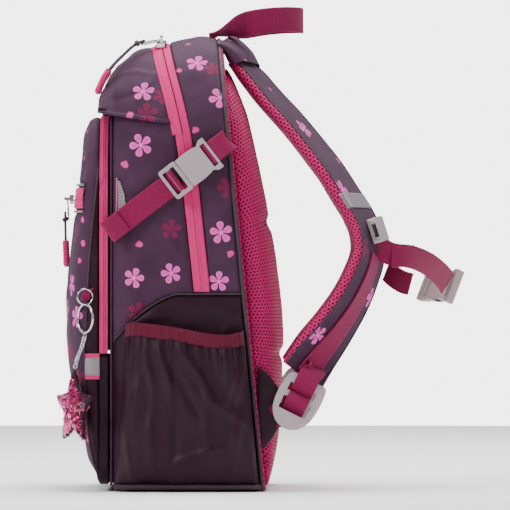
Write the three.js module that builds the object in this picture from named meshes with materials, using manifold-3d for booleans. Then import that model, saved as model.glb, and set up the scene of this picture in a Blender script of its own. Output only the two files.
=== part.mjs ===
// A child's school backpack: a zipped main compartment with a lid, a front pocket with a small
// zipped pocket on it, two stretch side pockets, a padded back, two shoulder straps with a
// chest strap, two side compression straps with buckles, a carry handle and a star charm.
// Millimetres. +Z is up, the front faces -Y, +X is the wearer's right. The origin is the middle
// of the flat base, on the floor.
import * as THREE from 'three';
import { mergeVertices } from 'three/addons/utils/BufferGeometryUtils.js';
import Module from 'manifold-3d';

const wasm = await Module();
wasm.setup();

// Driving dimensions.
const GAP = 0.4; // clearance between pieces that touch
const CLOTH = 3; // wall of a lined fabric panel
const HALF_WIDTH = 132; // centre to the outside of a side panel
const FRONT_SEAM = -62; // where the side gussets meet the front panel
const CORNER_START = -40; // the side panels turn inwards in front of this depth
const BACK_FOOT = 66; // depth of the back seam at the floor
const BACK_SLOPE = 0.098; // how much the back seam leans forward for each millimetre of height
const ARCH_RADIUS = 95; // top corners, seen from the front
const TOP_HEIGHT = 392; // top of the back seam
const BASE_THICKNESS = 5;
const TOP_SPLIT = 290; // the rear gusset is sewn to the top panel here
const ZIP_WIDTH = 14;
const ZIP_PROUD = 0.8; // how far a zip tape stands out of the panels beside it
const ZIP_END = 172; // lower ends of the main zip
const POCKET_HALF_WIDTH = 119;
const POCKET_TOP = 324;
const POCKET_FOOT = 6;
const POCKET_BAND = [-66.4, -74]; // depth of the band between the front panel and the pocket
const POCKET_ZIP_END = 118;
const WEBBING = 20; // width of the side and chest webbing
const HANDLE_WEBBING = 22;
const STRAP_THICKNESS = 10;
const BUCKLE_ANGLE = THREE.MathUtils.degToRad(37.5); // climb of the compression straps
const LOCK_ANGLE = THREE.MathUtils.degToRad(-26.5); // turn of the ladder lock on its wing
const KEY_RING_RADIUS = 12.2;
const STAR_RADIUS = 34;
const KEY_RING_CENTRE = [124.8, -86, 149.2];
const RING_TURN = THREE.MathUtils.degToRad(33); // turn of the ring about the vertical
const STAR_TURN = THREE.MathUtils.degToRad(29); // turn of the star about the vertical

const MATERIALS = {
  print_fabric: [0x583e56, 0.85, 0],
  wine_fabric: [0x4b1630, 0.6, 0],
  pink_webbing: [0xc41868, 0.75, 0],
  pink_mesh: [0xbe145f, 0.9, 0],
  grey_plastic: [0xb0a3a5, 0.45, 0],
  zip_tape: [0xc41868, 0.7, 0],
  chrome: [0xc8c8cc, 0.18, 1],
  elastic: [0x78052d, 0.7, 0],
  grip_rubber: [0xc21c66, 0.55, 0],
  cord: [0x241722, 0.8, 0],
  sequin: [0xd0206f, 0.25, 0.3],
  stiffener: [0x7c7c7c, 0.6, 0],
};

const backpack = new THREE.Group();

// Adds one named piece.
function add(name, geometry, material) {
  const [color, roughness, metalness] = MATERIALS[material];
  const look = new THREE.MeshStandardMaterial({ color, roughness, metalness });
  const mesh = new THREE.Mesh(geometry, look);
  mesh.name = name;
  backpack.add(mesh);
}

// Adds a piece on the wearer's right and its mirror image on the left.
function addPair(name, geometry, material) {
  add(`${name}_right`, geometry, material);
  add(`${name}_left`, mirrored(geometry), material);
}

// ---- Closed meshes -------------------------------------------------------------------------

// One closed body with its faces outwards, from flat lists of coordinates and corner numbers.
function closedGeometry(coordinates, corners) {
  let geometry = new THREE.BufferGeometry();
  geometry.setAttribute('position', new THREE.Float32BufferAttribute(coordinates, 3));
  geometry.setIndex(corners);
  geometry = mergeVertices(geometry, 1e-3);
  const index = geometry.index.array;
  const kept = [];
  for (let i = 0; i < index.length; i += 3) {
    const [a, b, c] = [index[i], index[i + 1], index[i + 2]];
    if (a !== b && b !== c && c !== a) kept.push(a, b, c);
  }
  geometry.setIndex(signedVolume(geometry, kept) < 0 ? kept.reverse() : kept);
  return geometry;
}

function signedVolume(geometry, corners) {
  const place = geometry.getAttribute('position');
  const [a, b, c] = [new THREE.Vector3(), new THREE.Vector3(), new THREE.Vector3()];
  let volume = 0;
  for (let i = 0; i < corners.length; i += 3) {
    [a, b, c].forEach((corner, k) => corner.fromBufferAttribute(place, corners[i + k]));
    volume += a.dot(b.cross(c)) / 6;
  }
  return volume;
}

// A three.js shape with its corners merged into one closed body.
function merged(geometry) {
  const bare = geometry.clone();
  bare.deleteAttribute('normal');
  bare.deleteAttribute('uv');
  const whole = mergeVertices(bare, 1e-3);
  return closedGeometry(whole.getAttribute('position').array, [...whole.index.array]);
}

function mirrored(geometry) {
  const copy = geometry.clone().scale(-1, 1, 1);
  return closedGeometry(copy.getAttribute('position').array, [...copy.index.array]);
}

// A wall between two surfaces of the same parameters, each from 0 to 1. Where it wraps, the
// first and last columns coincide.
function wall(outer, inner, columns, rows, wraps = false) {
  const coordinates = [];
  for (const face of [outer, inner]) {
    for (let i = 0; i <= columns; i++) {
      for (let j = 0; j <= rows; j++) coordinates.push(...face(i / columns, j / rows));
    }
  }
  const corners = [];
  const at = (side, i, j) => (side * (columns + 1) + i) * (rows + 1) + j;
  const quad = (a, b, c, d) => corners.push(a, b, c, a, c, d);
  for (let i = 0; i < columns; i++) {
    for (let j = 0; j < rows; j++) {
      quad(at(0, i, j), at(0, i + 1, j), at(0, i + 1, j + 1), at(0, i, j + 1));
      quad(at(1, i, j), at(1, i, j + 1), at(1, i + 1, j + 1), at(1, i + 1, j));
    }
    quad(at(0, i, 0), at(1, i, 0), at(1, i + 1, 0), at(0, i + 1, 0));
    quad(at(0, i, rows), at(0, i + 1, rows), at(1, i + 1, rows), at(1, i, rows));
  }
  for (let j = 0; j < rows && !wraps; j++) {
    quad(at(0, 0, j), at(0, 0, j + 1), at(1, 0, j + 1), at(1, 0, j));
    quad(at(0, columns, j), at(1, columns, j), at(1, columns, j + 1), at(0, columns, j + 1));
  }
  return closedGeometry(coordinates, corners);
}

function toSolid(geometry) {
  const clean = merged(geometry);
  return new wasm.Manifold(new wasm.Mesh({
    numProp: 3,
    vertProperties: new Float32Array(clean.getAttribute('position').array),
    triVerts: new Uint32Array(clean.index.array),
  }));
}

function fromSolid(solid) {
  const mesh = solid.getMesh();
  return closedGeometry([...mesh.vertProperties], [...mesh.triVerts]);
}

// A body less some cutters.
function cut(body, ...cutters) {
  const less = (solid, cutter) => solid.subtract(toSolid(cutter));
  return fromSolid(cutters.reduce(less, toSolid(body)));
}

function join(...bodies) {
  return fromSolid(bodies.map(toSolid).reduce((whole, body) => whole.add(body)));
}

function box(size, centre) {
  return merged(new THREE.BoxGeometry(...size).translate(...centre));
}

// ---- Curves and outlines -------------------------------------------------------------------

// A smooth value over a distance, by cubic pieces through [distance, value] pairs.
function profile(pairs) {
  const slope = (k) => {
    const [low, high] = [pairs[Math.max(k - 1, 0)], pairs[Math.min(k + 1, pairs.length - 1)]];
    return (high[1] - low[1]) / (high[0] - low[0]);
  };
  return (distance) => {
    let k = 1;
    while (k < pairs.length - 1 && pairs[k][0] < distance) k++;
    const [[start, from], [end, to]] = [pairs[k - 1], pairs[k]];
    const span = end - start;
    const t = THREE.MathUtils.clamp((distance - start) / span, 0, 1);
    const [t2, t3] = [t * t, t * t * t];
    return (2 * t3 - 3 * t2 + 1) * from + (t3 - 2 * t2 + t) * span * slope(k - 1)
      + (3 * t2 - 2 * t3) * to + (t3 - t2) * span * slope(k);
  };
}

// An upright rounded panel outline, from the middle of its foot round by the right side.
function panelOutline(halfWidth, foot, top, footRadius, topRadius) {
  const shape = new THREE.Shape();
  shape.moveTo(0, foot);
  shape.lineTo(halfWidth - footRadius, foot);
  shape.absarc(halfWidth - footRadius, foot + footRadius, footRadius, -Math.PI / 2, 0);
  shape.lineTo(halfWidth, top - topRadius);
  shape.absarc(halfWidth - topRadius, top - topRadius, topRadius, 0, Math.PI / 2);
  shape.lineTo(topRadius - halfWidth, top);
  shape.absarc(topRadius - halfWidth, top - topRadius, topRadius, Math.PI / 2, Math.PI);
  shape.lineTo(-halfWidth, foot + footRadius);
  shape.absarc(footRadius - halfWidth, foot + footRadius, footRadius, Math.PI, 1.5 * Math.PI);
  shape.lineTo(0, foot);
  return shape;
}

function extrude(shape, depth, curveSegments = 6) {
  return merged(new THREE.ExtrudeGeometry(shape, { depth, bevelEnabled: false, curveSegments }));
}

function roundedRectangle(width, height, radius) {
  const shape = new THREE.Shape();
  const [x, y] = [width / 2 - radius, height / 2 - radius];
  shape.absarc(x, y, radius, 0, Math.PI / 2);
  shape.absarc(-x, y, radius, Math.PI / 2, Math.PI);
  shape.absarc(-x, -y, radius, Math.PI, 1.5 * Math.PI);
  shape.absarc(x, -y, radius, 1.5 * Math.PI, 2 * Math.PI);
  shape.closePath();
  return shape;
}

// A round cord or wire along points.
function tube(points, radius, steps, sides = 8) {
  const section = new THREE.Shape();
  for (let i = 0; i < sides; i++) {
    const angle = (2 * Math.PI * i) / sides;
    const [x, y] = [radius * Math.cos(angle), radius * Math.sin(angle)];
    if (i) section.lineTo(x, y);
    else section.moveTo(x, y);
  }
  section.closePath();
  const extrudePath = curveThrough(points);
  return merged(new THREE.ExtrudeGeometry(section, { steps, bevelEnabled: false, extrudePath }));
}

// A flat band along a curve. acrossAt gives the direction of its width at each place on the
// curve, and widthAt its width there.
function band(curve, acrossAt, widthAt, thickness, steps, from = 0, to = 1, lift = 0) {
  const face = (offset) => (u, v) => {
    const t = from + (to - from) * u;
    const tangent = curve.getTangentAt(t);
    const across = acrossAt(t).clone();
    across.addScaledVector(tangent, -across.dot(tangent)).normalize();
    const normal = new THREE.Vector3().crossVectors(across, tangent);
    return curve.getPointAt(t)
      .addScaledVector(across, (v - 0.5) * widthAt(t))
      .addScaledVector(normal, lift + offset)
      .toArray();
  };
  return wall(face(thickness / 2), face(-thickness / 2), steps, 1);
}

function curveThrough(points) {
  return new THREE.CatmullRomCurve3(points.map((p) => new THREE.Vector3(...p)), false, 'centripetal');
}

// ---- Body of the bag -----------------------------------------------------------------------

const seamDepth = (z) => BACK_FOOT - BACK_SLOPE * z;

// Half the width of the bag at a depth: full, then turning in towards the front panel.
function halfWidthAt(y) {
  const turn = Math.max(0, (CORNER_START - y) / (CORNER_START - FRONT_SEAM));
  return HALF_WIDTH - 10 * turn * turn;
}

const topAt = profile([[-61, 366], [-44, 380], [-29, 385.5], [-10, 389], [12, 393.5], [32, 391.5]]);
const zipCentre = profile([
  [ZIP_END, 14.6], [205, 11.2], [258, 5.2], [302, -0.9], [337, -8.6], [365, -16], [390, -22],
]);
// Upper edge of the plain lower side panels.
const sideTop = (y) => 170 - 33 * (Math.max(0, -5 - y) / 50) ** 1.6;
// Lower edge of the lid.
const lidEdge = (y) => 328 - 0.17 * (y + 70);

// A point of an arch that rises from a foot height, turns and runs level to the middle. k runs
// from -1, the right foot, to 1, the left one, evenly along the arch.
function archPoint(k, halfWidth, top, radius, foot) {
  const [centre, level] = [halfWidth - radius, top - radius];
  const upright = Math.max(0, level - foot);
  const start = Math.asin(THREE.MathUtils.clamp((foot - level) / radius, 0, 1));
  const bend = radius * (Math.PI / 2 - start);
  const distance = (1 - Math.abs(k)) * (upright + bend + centre);
  const side = k < 0 ? 1 : -1;
  if (distance <= upright) return [side * halfWidth, foot + distance];
  if (distance <= upright + bend) {
    const angle = start + (distance - upright) / radius;
    return [side * (centre + radius * Math.cos(angle)), level + radius * Math.sin(angle)];
  }
  return [side * (centre - (distance - upright - bend)), top];
}

// The arch of the bag at a depth, moved inwards by an inset.
function bagArch(k, y, foot, inset) {
  return archPoint(k, halfWidthAt(y) - inset, topAt(y) - inset, ARCH_RADIUS - inset, foot);
}

// The side of the bag at a depth and height.
function bagSide(y, z, inset) {
  const rise = Math.max(0, z - (topAt(y) - ARCH_RADIUS));
  return halfWidthAt(y) - ARCH_RADIUS + Math.sqrt((ARCH_RADIUS - inset) ** 2 - rise ** 2);
}

// A wall on the right side of the bag, between a low and a high edge, each a function of depth,
// and a front and a back edge, each a function of height.
function sidePanel(low, high, front, back, columns = 14, rows = 8) {
  const face = (inset) => (u, v) => {
    let [y, z] = [0, 0];
    for (let pass = 0; pass < 12; pass++) {
      z = low(y) + (high(y) - low(y)) * v;
      y = front(z) + (back(z) - front(z)) * u;
    }
    return [bagSide(y, z, inset), y, z];
  };
  return wall(face(0), face(CLOTH), columns, rows);
}

// A wall that follows the arch of the bag, between a front and a back edge, each a function of
// height.
function archPanel(front, back, foot, thickness, proud, columns, rows) {
  const face = (inset) => (u, v) => {
    const k = 2 * u - 1;
    let y = 0;
    for (let pass = 0; pass < 12; pass++) {
      const [, z] = bagArch(k, y, foot, 0);
      y = front(z) + (back(z) - front(z)) * v;
    }
    const [x, z] = bagArch(k, y, foot, inset - proud);
    return [x, y, z];
  };
  return wall(face(0), face(thickness), columns, rows);
}

const zipFront = (z) => zipCentre(z) - ZIP_WIDTH / 2;
const zipBack = (z) => zipCentre(z) + ZIP_WIDTH / 2;

function addBodyPanels() {
  const seam = (z) => seamDepth(z) - GAP;
  const front = () => FRONT_SEAM;
  const foot = roundedRectangle(2 * HALF_WIDTH - 2, BACK_FOOT - FRONT_SEAM - 2, 16);
  const base = extrude(foot, BASE_THICKNESS).translate(0, (BACK_FOOT + FRONT_SEAM) / 2, 0);
  add('base_panel', base, 'wine_fabric');
  const lower = sidePanel(() => BASE_THICKNESS + GAP, sideTop, front, seam, 12, 4);
  addPair('lower_side', lower, 'wine_fabric');
  const rear = sidePanel((y) => sideTop(y) + GAP, () => TOP_SPLIT, (z) => zipBack(z) + GAP, seam, 4, 5);
  addPair('rear_side', rear, 'print_fabric');
  const gusset = sidePanel(
    (y) => sideTop(y) + GAP, (y) => lidEdge(y) - GAP, front, (z) => zipFront(z) - GAP, 8, 8,
  );
  addPair('front_gusset', gusset, 'print_fabric');
  const top = archPanel((z) => zipBack(z) + GAP, seam, TOP_SPLIT + GAP, CLOTH, 0, 28, 3);
  add('top_panel', top, 'print_fabric');
}

// An upright wall across the bag, between two depths that follow the height.
function crossWall(halfAt, near, far, foot, top, rows) {
  const face = (depth) => (u, v) => {
    const z = foot + (top - foot) * Math.sin((v * Math.PI) / 2);
    return [(2 * u - 1) * halfAt(z), depth(z), z];
  };
  return wall(face(far), face(near), 2, rows);
}

function addFrontPanel() {
  const half = (z) => bagSide(FRONT_SEAM, z, 0.6);
  const [foot, top] = [BASE_THICKNESS + GAP, lidEdge(FRONT_SEAM) - GAP];
  add('front_panel', crossWall(half, () => -65.6, () => -62.6, foot, top, 12), 'print_fabric');
}

// The domed front of the top, between the front pocket and the main zip, which opens. It
// follows a ridge in the middle plane, over the nose above the front pocket and then the arch.
const lidRidge = curveThrough([
  [0, -70, 328.4], [0, -75, 335], [0, -70.5, 347], [0, -61, 366], [0, -44, 380], [0, -29.4, 385.5],
]);
const NOSE_TOP = 366; // the nose narrows below this height
const LID_TOP = 385.5;

function lidFace(inset, from) {
  return (u, v) => {
    const k = 2 * u - 1;
    const t = from + (1 - from) * v;
    const ridge = lidRidge.getPointAt(t);
    const follow = THREE.MathUtils.smoothstep(t, 0.3, 1);
    let [y, x, z] = [ridge.y, 0, 0];
    for (let pass = 0; pass < 12; pass++) {
      const lean = ridge.z < NOSE_TOP ? (NOSE_TOP - ridge.z) / (NOSE_TOP - 328) : 0;
      const top = lean > 0 ? ridge.z : topAt(y);
      const half = halfWidthAt(Math.max(y, FRONT_SEAM)) - 20 * lean - inset;
      const radius = Math.max(ARCH_RADIUS - 83 * lean - inset, 1);
      const foot = lidEdge(y);
      [x, z] = archPoint(k, half, Math.max(top - inset, foot), radius, foot);
      y = ridge.y + follow * (zipFront(Math.min(z + inset, LID_TOP)) - zipFront(LID_TOP));
    }
    return [x, y + inset * THREE.MathUtils.smoothstep(-ridge.y, 50, 72), z];
  };
}

function addLid() {
  add('lid', wall(lidFace(0, 0), lidFace(CLOTH, 0.01), 28, 9), 'print_fabric');
}

// The main zip. Below the lid both its tapes are one band on each side. Above, the rear half
// stays on the bag and the front half is on the lid.
function addMainZip() {
  const lidFoot = lidEdge(-3);
  const front = (z) => (z < lidFoot - 9.5 ? zipFront(z) : zipCentre(z) + GAP / 2);
  add('main_zip', archPanel(front, zipBack, ZIP_END, CLOTH, ZIP_PROUD, 70, 1), 'zip_tape');
  // The free half is narrower at its feet, so that it clears the fixed half as the lid lifts.
  const free = (z) => zipCentre(z) - GAP / 2 - 4 * THREE.MathUtils.smoothstep(345 - z, 0, 28);
  const lidHalf = archPanel(zipFront, free, lidFoot, CLOTH, ZIP_PROUD, 32, 1);
  add('main_zip_lid', lidHalf, 'zip_tape');
}

// ---- Back ----------------------------------------------------------------------------------

// Half the width of an arched plate at a height.
const archedHalf = (halfWidth, top, radius) => (z) => {
  const rise = Math.max(0, z - (top - radius));
  return halfWidth - radius + Math.sqrt(Math.max(0, radius * radius - rise * rise));
};

// A plate that leans with the back seam, between two distances behind it.
function backPlate(halfWidth, foot, top, radius, near, far) {
  const half = archedHalf(halfWidth, top, radius);
  return crossWall(half, (z) => seamDepth(z) + near, (z) => seamDepth(z) + far, foot, top, 20);
}

// A pillow on a panel outline. place turns [x, height out of the panel, z] into coordinates.
function pillow(outline, middle, heightAt, place, squareness, rings, around) {
  const loop = outline.getSpacedPoints(around);
  const face = (lift) => (u, v) => {
    const rim = loop[Math.round(u * around)];
    const angle = ((1 - v) * Math.PI) / 2;
    const reach = Math.sin(angle) ** (2 / squareness);
    const [x, z] = [rim.x * reach, middle + (rim.y - middle) * reach];
    const round = v === 0 ? 0 : Math.cos(angle) ** (2 / squareness);
    return place(x, lift * (1.5 + heightAt(x, z) * round), z);
  };
  return wall(face(1), face(0), around, rings, true);
}

const padHeight = profile([
  [5, 5], [22, 10], [53, 17], [112, 25], [143, 28.5], [200, 28], [256, 24], [289, 20], [320, 15], [350, 9],
]);

function addBack() {
  add('back_wall', backPlate(HALF_WIDTH, 1, TOP_HEIGHT, ARCH_RADIUS, 0, 4), 'pink_mesh');
  add('back_stiffener', backPlate(112, 14, 352, 70, -7.5, -6), 'stiffener');
  const outline = panelOutline(121, 6, 350, 18, 70);
  const channel = (x) => 1 - 0.45 * Math.exp(-((x / 17) ** 2));
  const height = (x, z) => padHeight(z) * channel(x) - 1.5;
  const place = (x, lift, z) => [x, seamDepth(z) + 4.5 + lift, z];
  add('back_pad', pillow(outline, 150, height, place, 4, 6, 40), 'pink_mesh');
}

// ---- Front pocket --------------------------------------------------------------------------

const pocketOutline = panelOutline(POCKET_HALF_WIDTH, POCKET_FOOT, POCKET_TOP, 25, 78);
const POCKET_MIDDLE = (POCKET_TOP + POCKET_FOOT) / 2;
// How far the middle of the pocket stands out of its band, over height.
const pocketDepth = profile([
  [6, 1], [14, 2.2], [26, 9], [40, 12.5], [95, 25.4], [137, 29.6], [167, 29.6], [200, 27.1],
  [245, 21.1], [290, 16], [309, 14], [324, 8],
]);
const POCKET_SQUARENESS = 3.4;
const roundness = (reach) => Math.max(0, 1 - reach ** POCKET_SQUARENESS) ** (1 / POCKET_SQUARENESS);

// Depth of the pocket's front at a reach from its middle, 1 at the rim, and a height.
function pocketLift(reach, z, inset) {
  const tall = Math.abs(z - POCKET_MIDDLE) / (POCKET_TOP - POCKET_MIDDLE);
  const full = pocketDepth(z) / Math.max(0.45, roundness(tall));
  return Math.max(0.2, full - inset) * roundness(reach);
}

// A point of the front pocket, from a point of its outline at v = 0 to its middle at v = 1.
function pocketPoint(rim, v, inset) {
  const reach = Math.sin(((1 - v) * Math.PI) / 2) ** (2 / POCKET_SQUARENESS);
  const shrink = reach * (1 - inset / POCKET_HALF_WIDTH);
  const z = POCKET_MIDDLE + (rim.y - POCKET_MIDDLE) * shrink;
  return [rim.x * shrink, POCKET_BAND[1] - GAP - pocketLift(reach, z, inset), z];
}

function pocketBand(from, to, outside, columns) {
  const face = (inset) => (u, v) => {
    const rim = pocketOutline.getPointAt((from + (to - from) * u) % 1);
    const shrink = 1 + (outside - inset) / POCKET_HALF_WIDTH;
    const y = POCKET_BAND[0] + (POCKET_BAND[1] - POCKET_BAND[0]) * v;
    return [rim.x * shrink, y, POCKET_MIDDLE + (rim.y - POCKET_MIDDLE) * shrink];
  };
  return wall(face(0), face(CLOTH), columns, 1);
}

function addFrontPocket() {
  const around = 40;
  const loop = pocketOutline.getSpacedPoints(around);
  const face = (inset) => (u, v) => pocketPoint(loop[Math.round(u * around)], v, inset);
  add('front_pocket', wall(face(0), face(CLOTH), around, 7, true), 'print_fabric');

  const length = pocketOutline.getLength();
  const end = (POCKET_HALF_WIDTH - 25 + 12.5 * Math.PI + POCKET_ZIP_END - POCKET_FOOT - 25) / length;
  const space = 0.6 / length;
  add('front_pocket_zip', pocketBand(end, 1 - end, 0, 40), 'zip_tape');
  add('front_pocket_gusset', pocketBand(1 - end + space, 1 + end - space, 0, 30), 'wine_fabric');
}

// The zip of the small pocket, a level band that lies on the front of the front pocket.
const SMALL_ZIP = { low: 243, high: 263, half: 96 };

function pocketFront(x, z) {
  const tall = Math.abs(z - POCKET_MIDDLE) / (POCKET_TOP - POCKET_MIDDLE);
  return POCKET_BAND[1] - GAP - pocketLift(Math.max(Math.abs(x) / POCKET_HALF_WIDTH, tall), z, 0);
}

function addSmallPocketZip() {
  const face = (lift) => (u, v) => {
    const x = (2 * u - 1) * SMALL_ZIP.half;
    const z = SMALL_ZIP.low + (SMALL_ZIP.high - SMALL_ZIP.low) * v;
    return [x, pocketFront(x, z) - 1.6 - lift, z];
  };
  add('small_pocket_zip', wall(face(1.6), face(0), 20, 1), 'zip_tape');
}

// ---- Side pockets --------------------------------------------------------------------------

const sidePocketBulge = profile([[6, 2], [14, 9], [30, 15], [70, 18], [128, 16.5], [141, 15]]);

function sidePocketWall(low, high, thickness, rows) {
  const face = (inset) => (u, v) => {
    const z = low + (high - low) * v;
    const front = FRONT_SEAM + 2 + 8 * (z / 131);
    const back = seamDepth(z) - 2;
    const s = -Math.cos(u * Math.PI);
    const y = (front + back) / 2 + (s * (back - front)) / 2 * (1 - inset / 70);
    const lift = sidePocketBulge(z) * (1 - Math.abs(s) ** 3) ** (1 / 3);
    return [halfWidthAt(y) + 2.6 + Math.max(lift - inset, 0) - (inset ? 1.2 : 0), y, z];
  };
  return wall(face(0), face(thickness), 16, rows);
}

function addSidePockets() {
  addPair('side_pocket', sidePocketWall(7, 127.6, 1.6, 7), 'wine_fabric');
  addPair('side_pocket_elastic', sidePocketWall(128, 140, 2, 1), 'elastic');
}

// ---- Shoulder straps -----------------------------------------------------------------------

const strapPath = curveThrough([
  [46, 47.6, 372], [50, 57, 360.5], [56, 73, 341], [62, 92, 320], [68, 110, 298], [74, 126, 277],
  [79, 140, 255], [83, 151, 237], [87, 157, 221], [92, 158, 203], [98, 152, 183], [105, 142, 162],
  [112, 128, 140], [118, 113, 119], [122, 101, 100],
]);
const strapTurn = profile([[0, 12], [0.5, 16], [0.7, 24], [0.86, 40], [1, 66]]);
const strapWidth = profile([[0, 62], [0.15, 66], [0.6, 64], [0.85, 52], [1, 45]]);

// Direction of the strap's width: level across the bag at the shoulder, turning to face the
// side towards its lower end.
function strapAcross(t) {
  const tangent = strapPath.getTangentAt(t);
  const outward = new THREE.Vector3(0, -tangent.z, tangent.y).normalize();
  const angle = THREE.MathUtils.degToRad(strapTurn(t));
  return new THREE.Vector3(Math.cos(angle), 0, 0).addScaledVector(outward, -Math.sin(angle));
}

function addShoulderStraps() {
  addPair('shoulder_strap', band(strapPath, strapAcross, strapWidth, STRAP_THICKNESS, 30), 'print_fabric');
  const lift = STRAP_THICKNESS / 2 + 1.9;
  const webbing = band(strapPath, strapAcross, () => WEBBING, 1.8, 24, 0.63, 0.995, lift);
  addPair('strap_webbing', webbing, 'pink_webbing');
}

// The side wing that holds the ladder lock at the foot of the back.
function addWings() {
  const shape = new THREE.Shape([
    new THREE.Vector2(62.5, 108), new THREE.Vector2(80, 90), new THREE.Vector2(83, 72),
    new THREE.Vector2(81, 56), new THREE.Vector2(69, 38),
  ]);
  addPair('wing', extrude(shape, 3).applyMatrix4(yzPlane(126)), 'wine_fabric');
}

// Turns a flat shape of depth and height into a plate square to X.
function yzPlane(x) {
  return new THREE.Matrix4().set(0, 0, 1, x, 1, 0, 0, 0, 0, 1, 0, 0, 0, 0, 0, 1);
}

const LOCK_CENTRE = [95.5, 76];

function addLadderLocks() {
  const shape = new THREE.Shape();
  shape.moveTo(-13, 23.5);
  shape.lineTo(15, 23.5);
  shape.quadraticCurveTo(18.5, 23, 19, 19);
  shape.quadraticCurveTo(21, 4, 17.5, -10);
  shape.quadraticCurveTo(12, -23.5, 0, -23.5);
  shape.quadraticCurveTo(-12, -23.5, -17.5, -10);
  shape.quadraticCurveTo(-21, 4, -17, 19);
  shape.quadraticCurveTo(-16.5, 23, -13, 23.5);
  for (const [low, high] of [[8, 15], [-9, 2.5]]) {
    shape.holes.push(new THREE.Path([
      new THREE.Vector2(-12.5, low), new THREE.Vector2(12.5, low),
      new THREE.Vector2(12.5, high), new THREE.Vector2(-12.5, high),
    ]));
  }
  const place = yzPlane(131).multiply(new THREE.Matrix4().makeTranslation(...LOCK_CENTRE, 0))
    .multiply(new THREE.Matrix4().makeRotationZ(LOCK_ANGLE));
  addPair('ladder_lock', extrude(shape, 5).applyMatrix4(place), 'grey_plastic');
}

// ---- Side release buckles ------------------------------------------------------------------

// Both halves lie along X from the webbing of the plug half to that of the socket half, with
// their width along Y and their thickness along Z. The join is at the origin.
function buckleSocket() {
  const body = new THREE.Shape();
  body.moveTo(0, -13.5);
  body.quadraticCurveTo(12, -15, 22, -12.5);
  body.lineTo(26, -15.5);
  body.lineTo(31, -15.5);
  body.lineTo(31, 15.5);
  body.lineTo(26, 15.5);
  body.lineTo(22, 12.5);
  body.quadraticCurveTo(12, 15, 0, 13.5);
  body.closePath();
  const slot = box([4.4, 22, 20], [26.6, 0, 0]);
  const tunnel = box([22, 23.6, 4.8], [10, 0, 0]);
  const windows = [-1, 1].map((side) => box([9, 7, 4.8], [10, side * 13, 0]));
  return cut(extrude(body, 8).translate(0, 0, -4), slot, tunnel, ...windows);
}

function bucklePlug() {
  const frame = extrude(roundedRectangle(18, 29, 2.5), 5).translate(-9.4, 0, -2.5);
  const slots = [-13.6, -6.2].map((x) => box([4.2, 22, 20], [x, 0, 0]));
  const tongue = box([15, 4, 3.6], [6.5, 0, 0]);
  const arms = [-1, 1].map((side) => box([18, 2.4, 3.6], [8, side * 9.6, 0]));
  return join(cut(frame, ...slots), tongue, ...arms);
}

// Places a buckle half: its X along the webbing, its Z along the normal.
function placed(geometry, centre, along, normal) {
  const [x, z] = [along.clone().normalize(), normal.clone().normalize()];
  const y = new THREE.Vector3().crossVectors(z, x);
  return moved(geometry, new THREE.Matrix4().makeBasis(x, y, z).setPosition(centre));
}

function moved(geometry, matrix) {
  const copy = geometry.clone().applyMatrix4(matrix);
  return closedGeometry(copy.getAttribute('position').array, [...copy.index.array]);
}

const BUCKLE_JOIN = new THREE.Vector3(HALF_WIDTH + 9, -0.5, 273.6);
const climb = new THREE.Vector3(0, Math.cos(BUCKLE_ANGLE), Math.sin(BUCKLE_ANGLE));
const acrossClimb = new THREE.Vector3(0, -Math.sin(BUCKLE_ANGLE), Math.cos(BUCKLE_ANGLE));

function addCompressionStraps() {
  const outward = new THREE.Vector3(1, 0, 0);
  addPair('buckle_socket', placed(buckleSocket(), BUCKLE_JOIN, climb, outward), 'grey_plastic');
  addPair('buckle_plug', placed(bucklePlug(), BUCKLE_JOIN, climb, outward), 'grey_plastic');
  const at = (distance, x) => {
    const point = BUCKLE_JOIN.clone().addScaledVector(climb, distance);
    return [x, point.y, point.z];
  };
  const near = HALF_WIDTH + 3.4;
  const front = curveThrough([at(-82, near), at(-50, near), at(-20, near), at(-3, near)]);
  const folded = band(front, () => acrossClimb, () => WEBBING, 3.2, 8);
  addPair('compression_strap_front', folded, 'pink_webbing');
  const rear = curveThrough([
    at(32, HALF_WIDTH + 6), at(42, HALF_WIDTH + 3.6), at(54, HALF_WIDTH + 1.6),
  ]);
  const single = band(rear, () => acrossClimb, () => WEBBING, 2, 6);
  addPair('compression_strap_rear', single, 'pink_webbing');
}

// ---- Chest strap ---------------------------------------------------------------------------

const chestPath = curveThrough([
  [84, 178, 203], [76, 191, 203], [56, 207, 198], [32, 220, 189], [8, 228, 180], [-12, 226.5, 177],
  [-38, 211, 177], [-62, 193.5, 179], [-76, 184, 184], [-84, 177, 190],
]);
const CHEST_JOIN = 0.645; // where the two halves of the chest buckle meet, along the strap
const chestAcross = (t) => new THREE.Vector3(0, 0.55 * Math.sin(t * Math.PI), 0.9);

function addChestStrap() {
  const webbing = (steps, from, to) => band(chestPath, chestAcross, () => WEBBING, 1.8, steps, from, to);
  add('chest_webbing_right', webbing(20, 0, 0.49), 'pink_webbing');
  add('chest_webbing_left', webbing(8, 0.835, 1), 'pink_webbing');
  const centre = chestPath.getPointAt(CHEST_JOIN);
  const along = chestPath.getTangentAt(CHEST_JOIN).negate();
  const across = chestAcross(CHEST_JOIN);
  const normal = new THREE.Vector3().crossVectors(along, across);
  add('chest_socket', placed(buckleSocket(), centre, along, normal), 'grey_plastic');
  add('chest_plug', placed(bucklePlug(), centre, along, normal), 'grey_plastic');

  // A slider on each strap: a plate with a lip that grips the strap's centre webbing.
  const plate = cut(extrude(roundedRectangle(24, 22, 3), 8), box([30, 12, 4], [0, 0, 5]));
  const t = 0.572;
  const tangent = strapPath.getTangentAt(t);
  const face = new THREE.Vector3().crossVectors(strapAcross(t), tangent).normalize();
  const place = strapPath.getPointAt(t).addScaledVector(face, STRAP_THICKNESS / 2 + 2);
  addPair('chest_slider', placed(plate, place, strapAcross(t), face), 'grey_plastic');
}

// ---- Carry handle --------------------------------------------------------------------------

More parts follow.
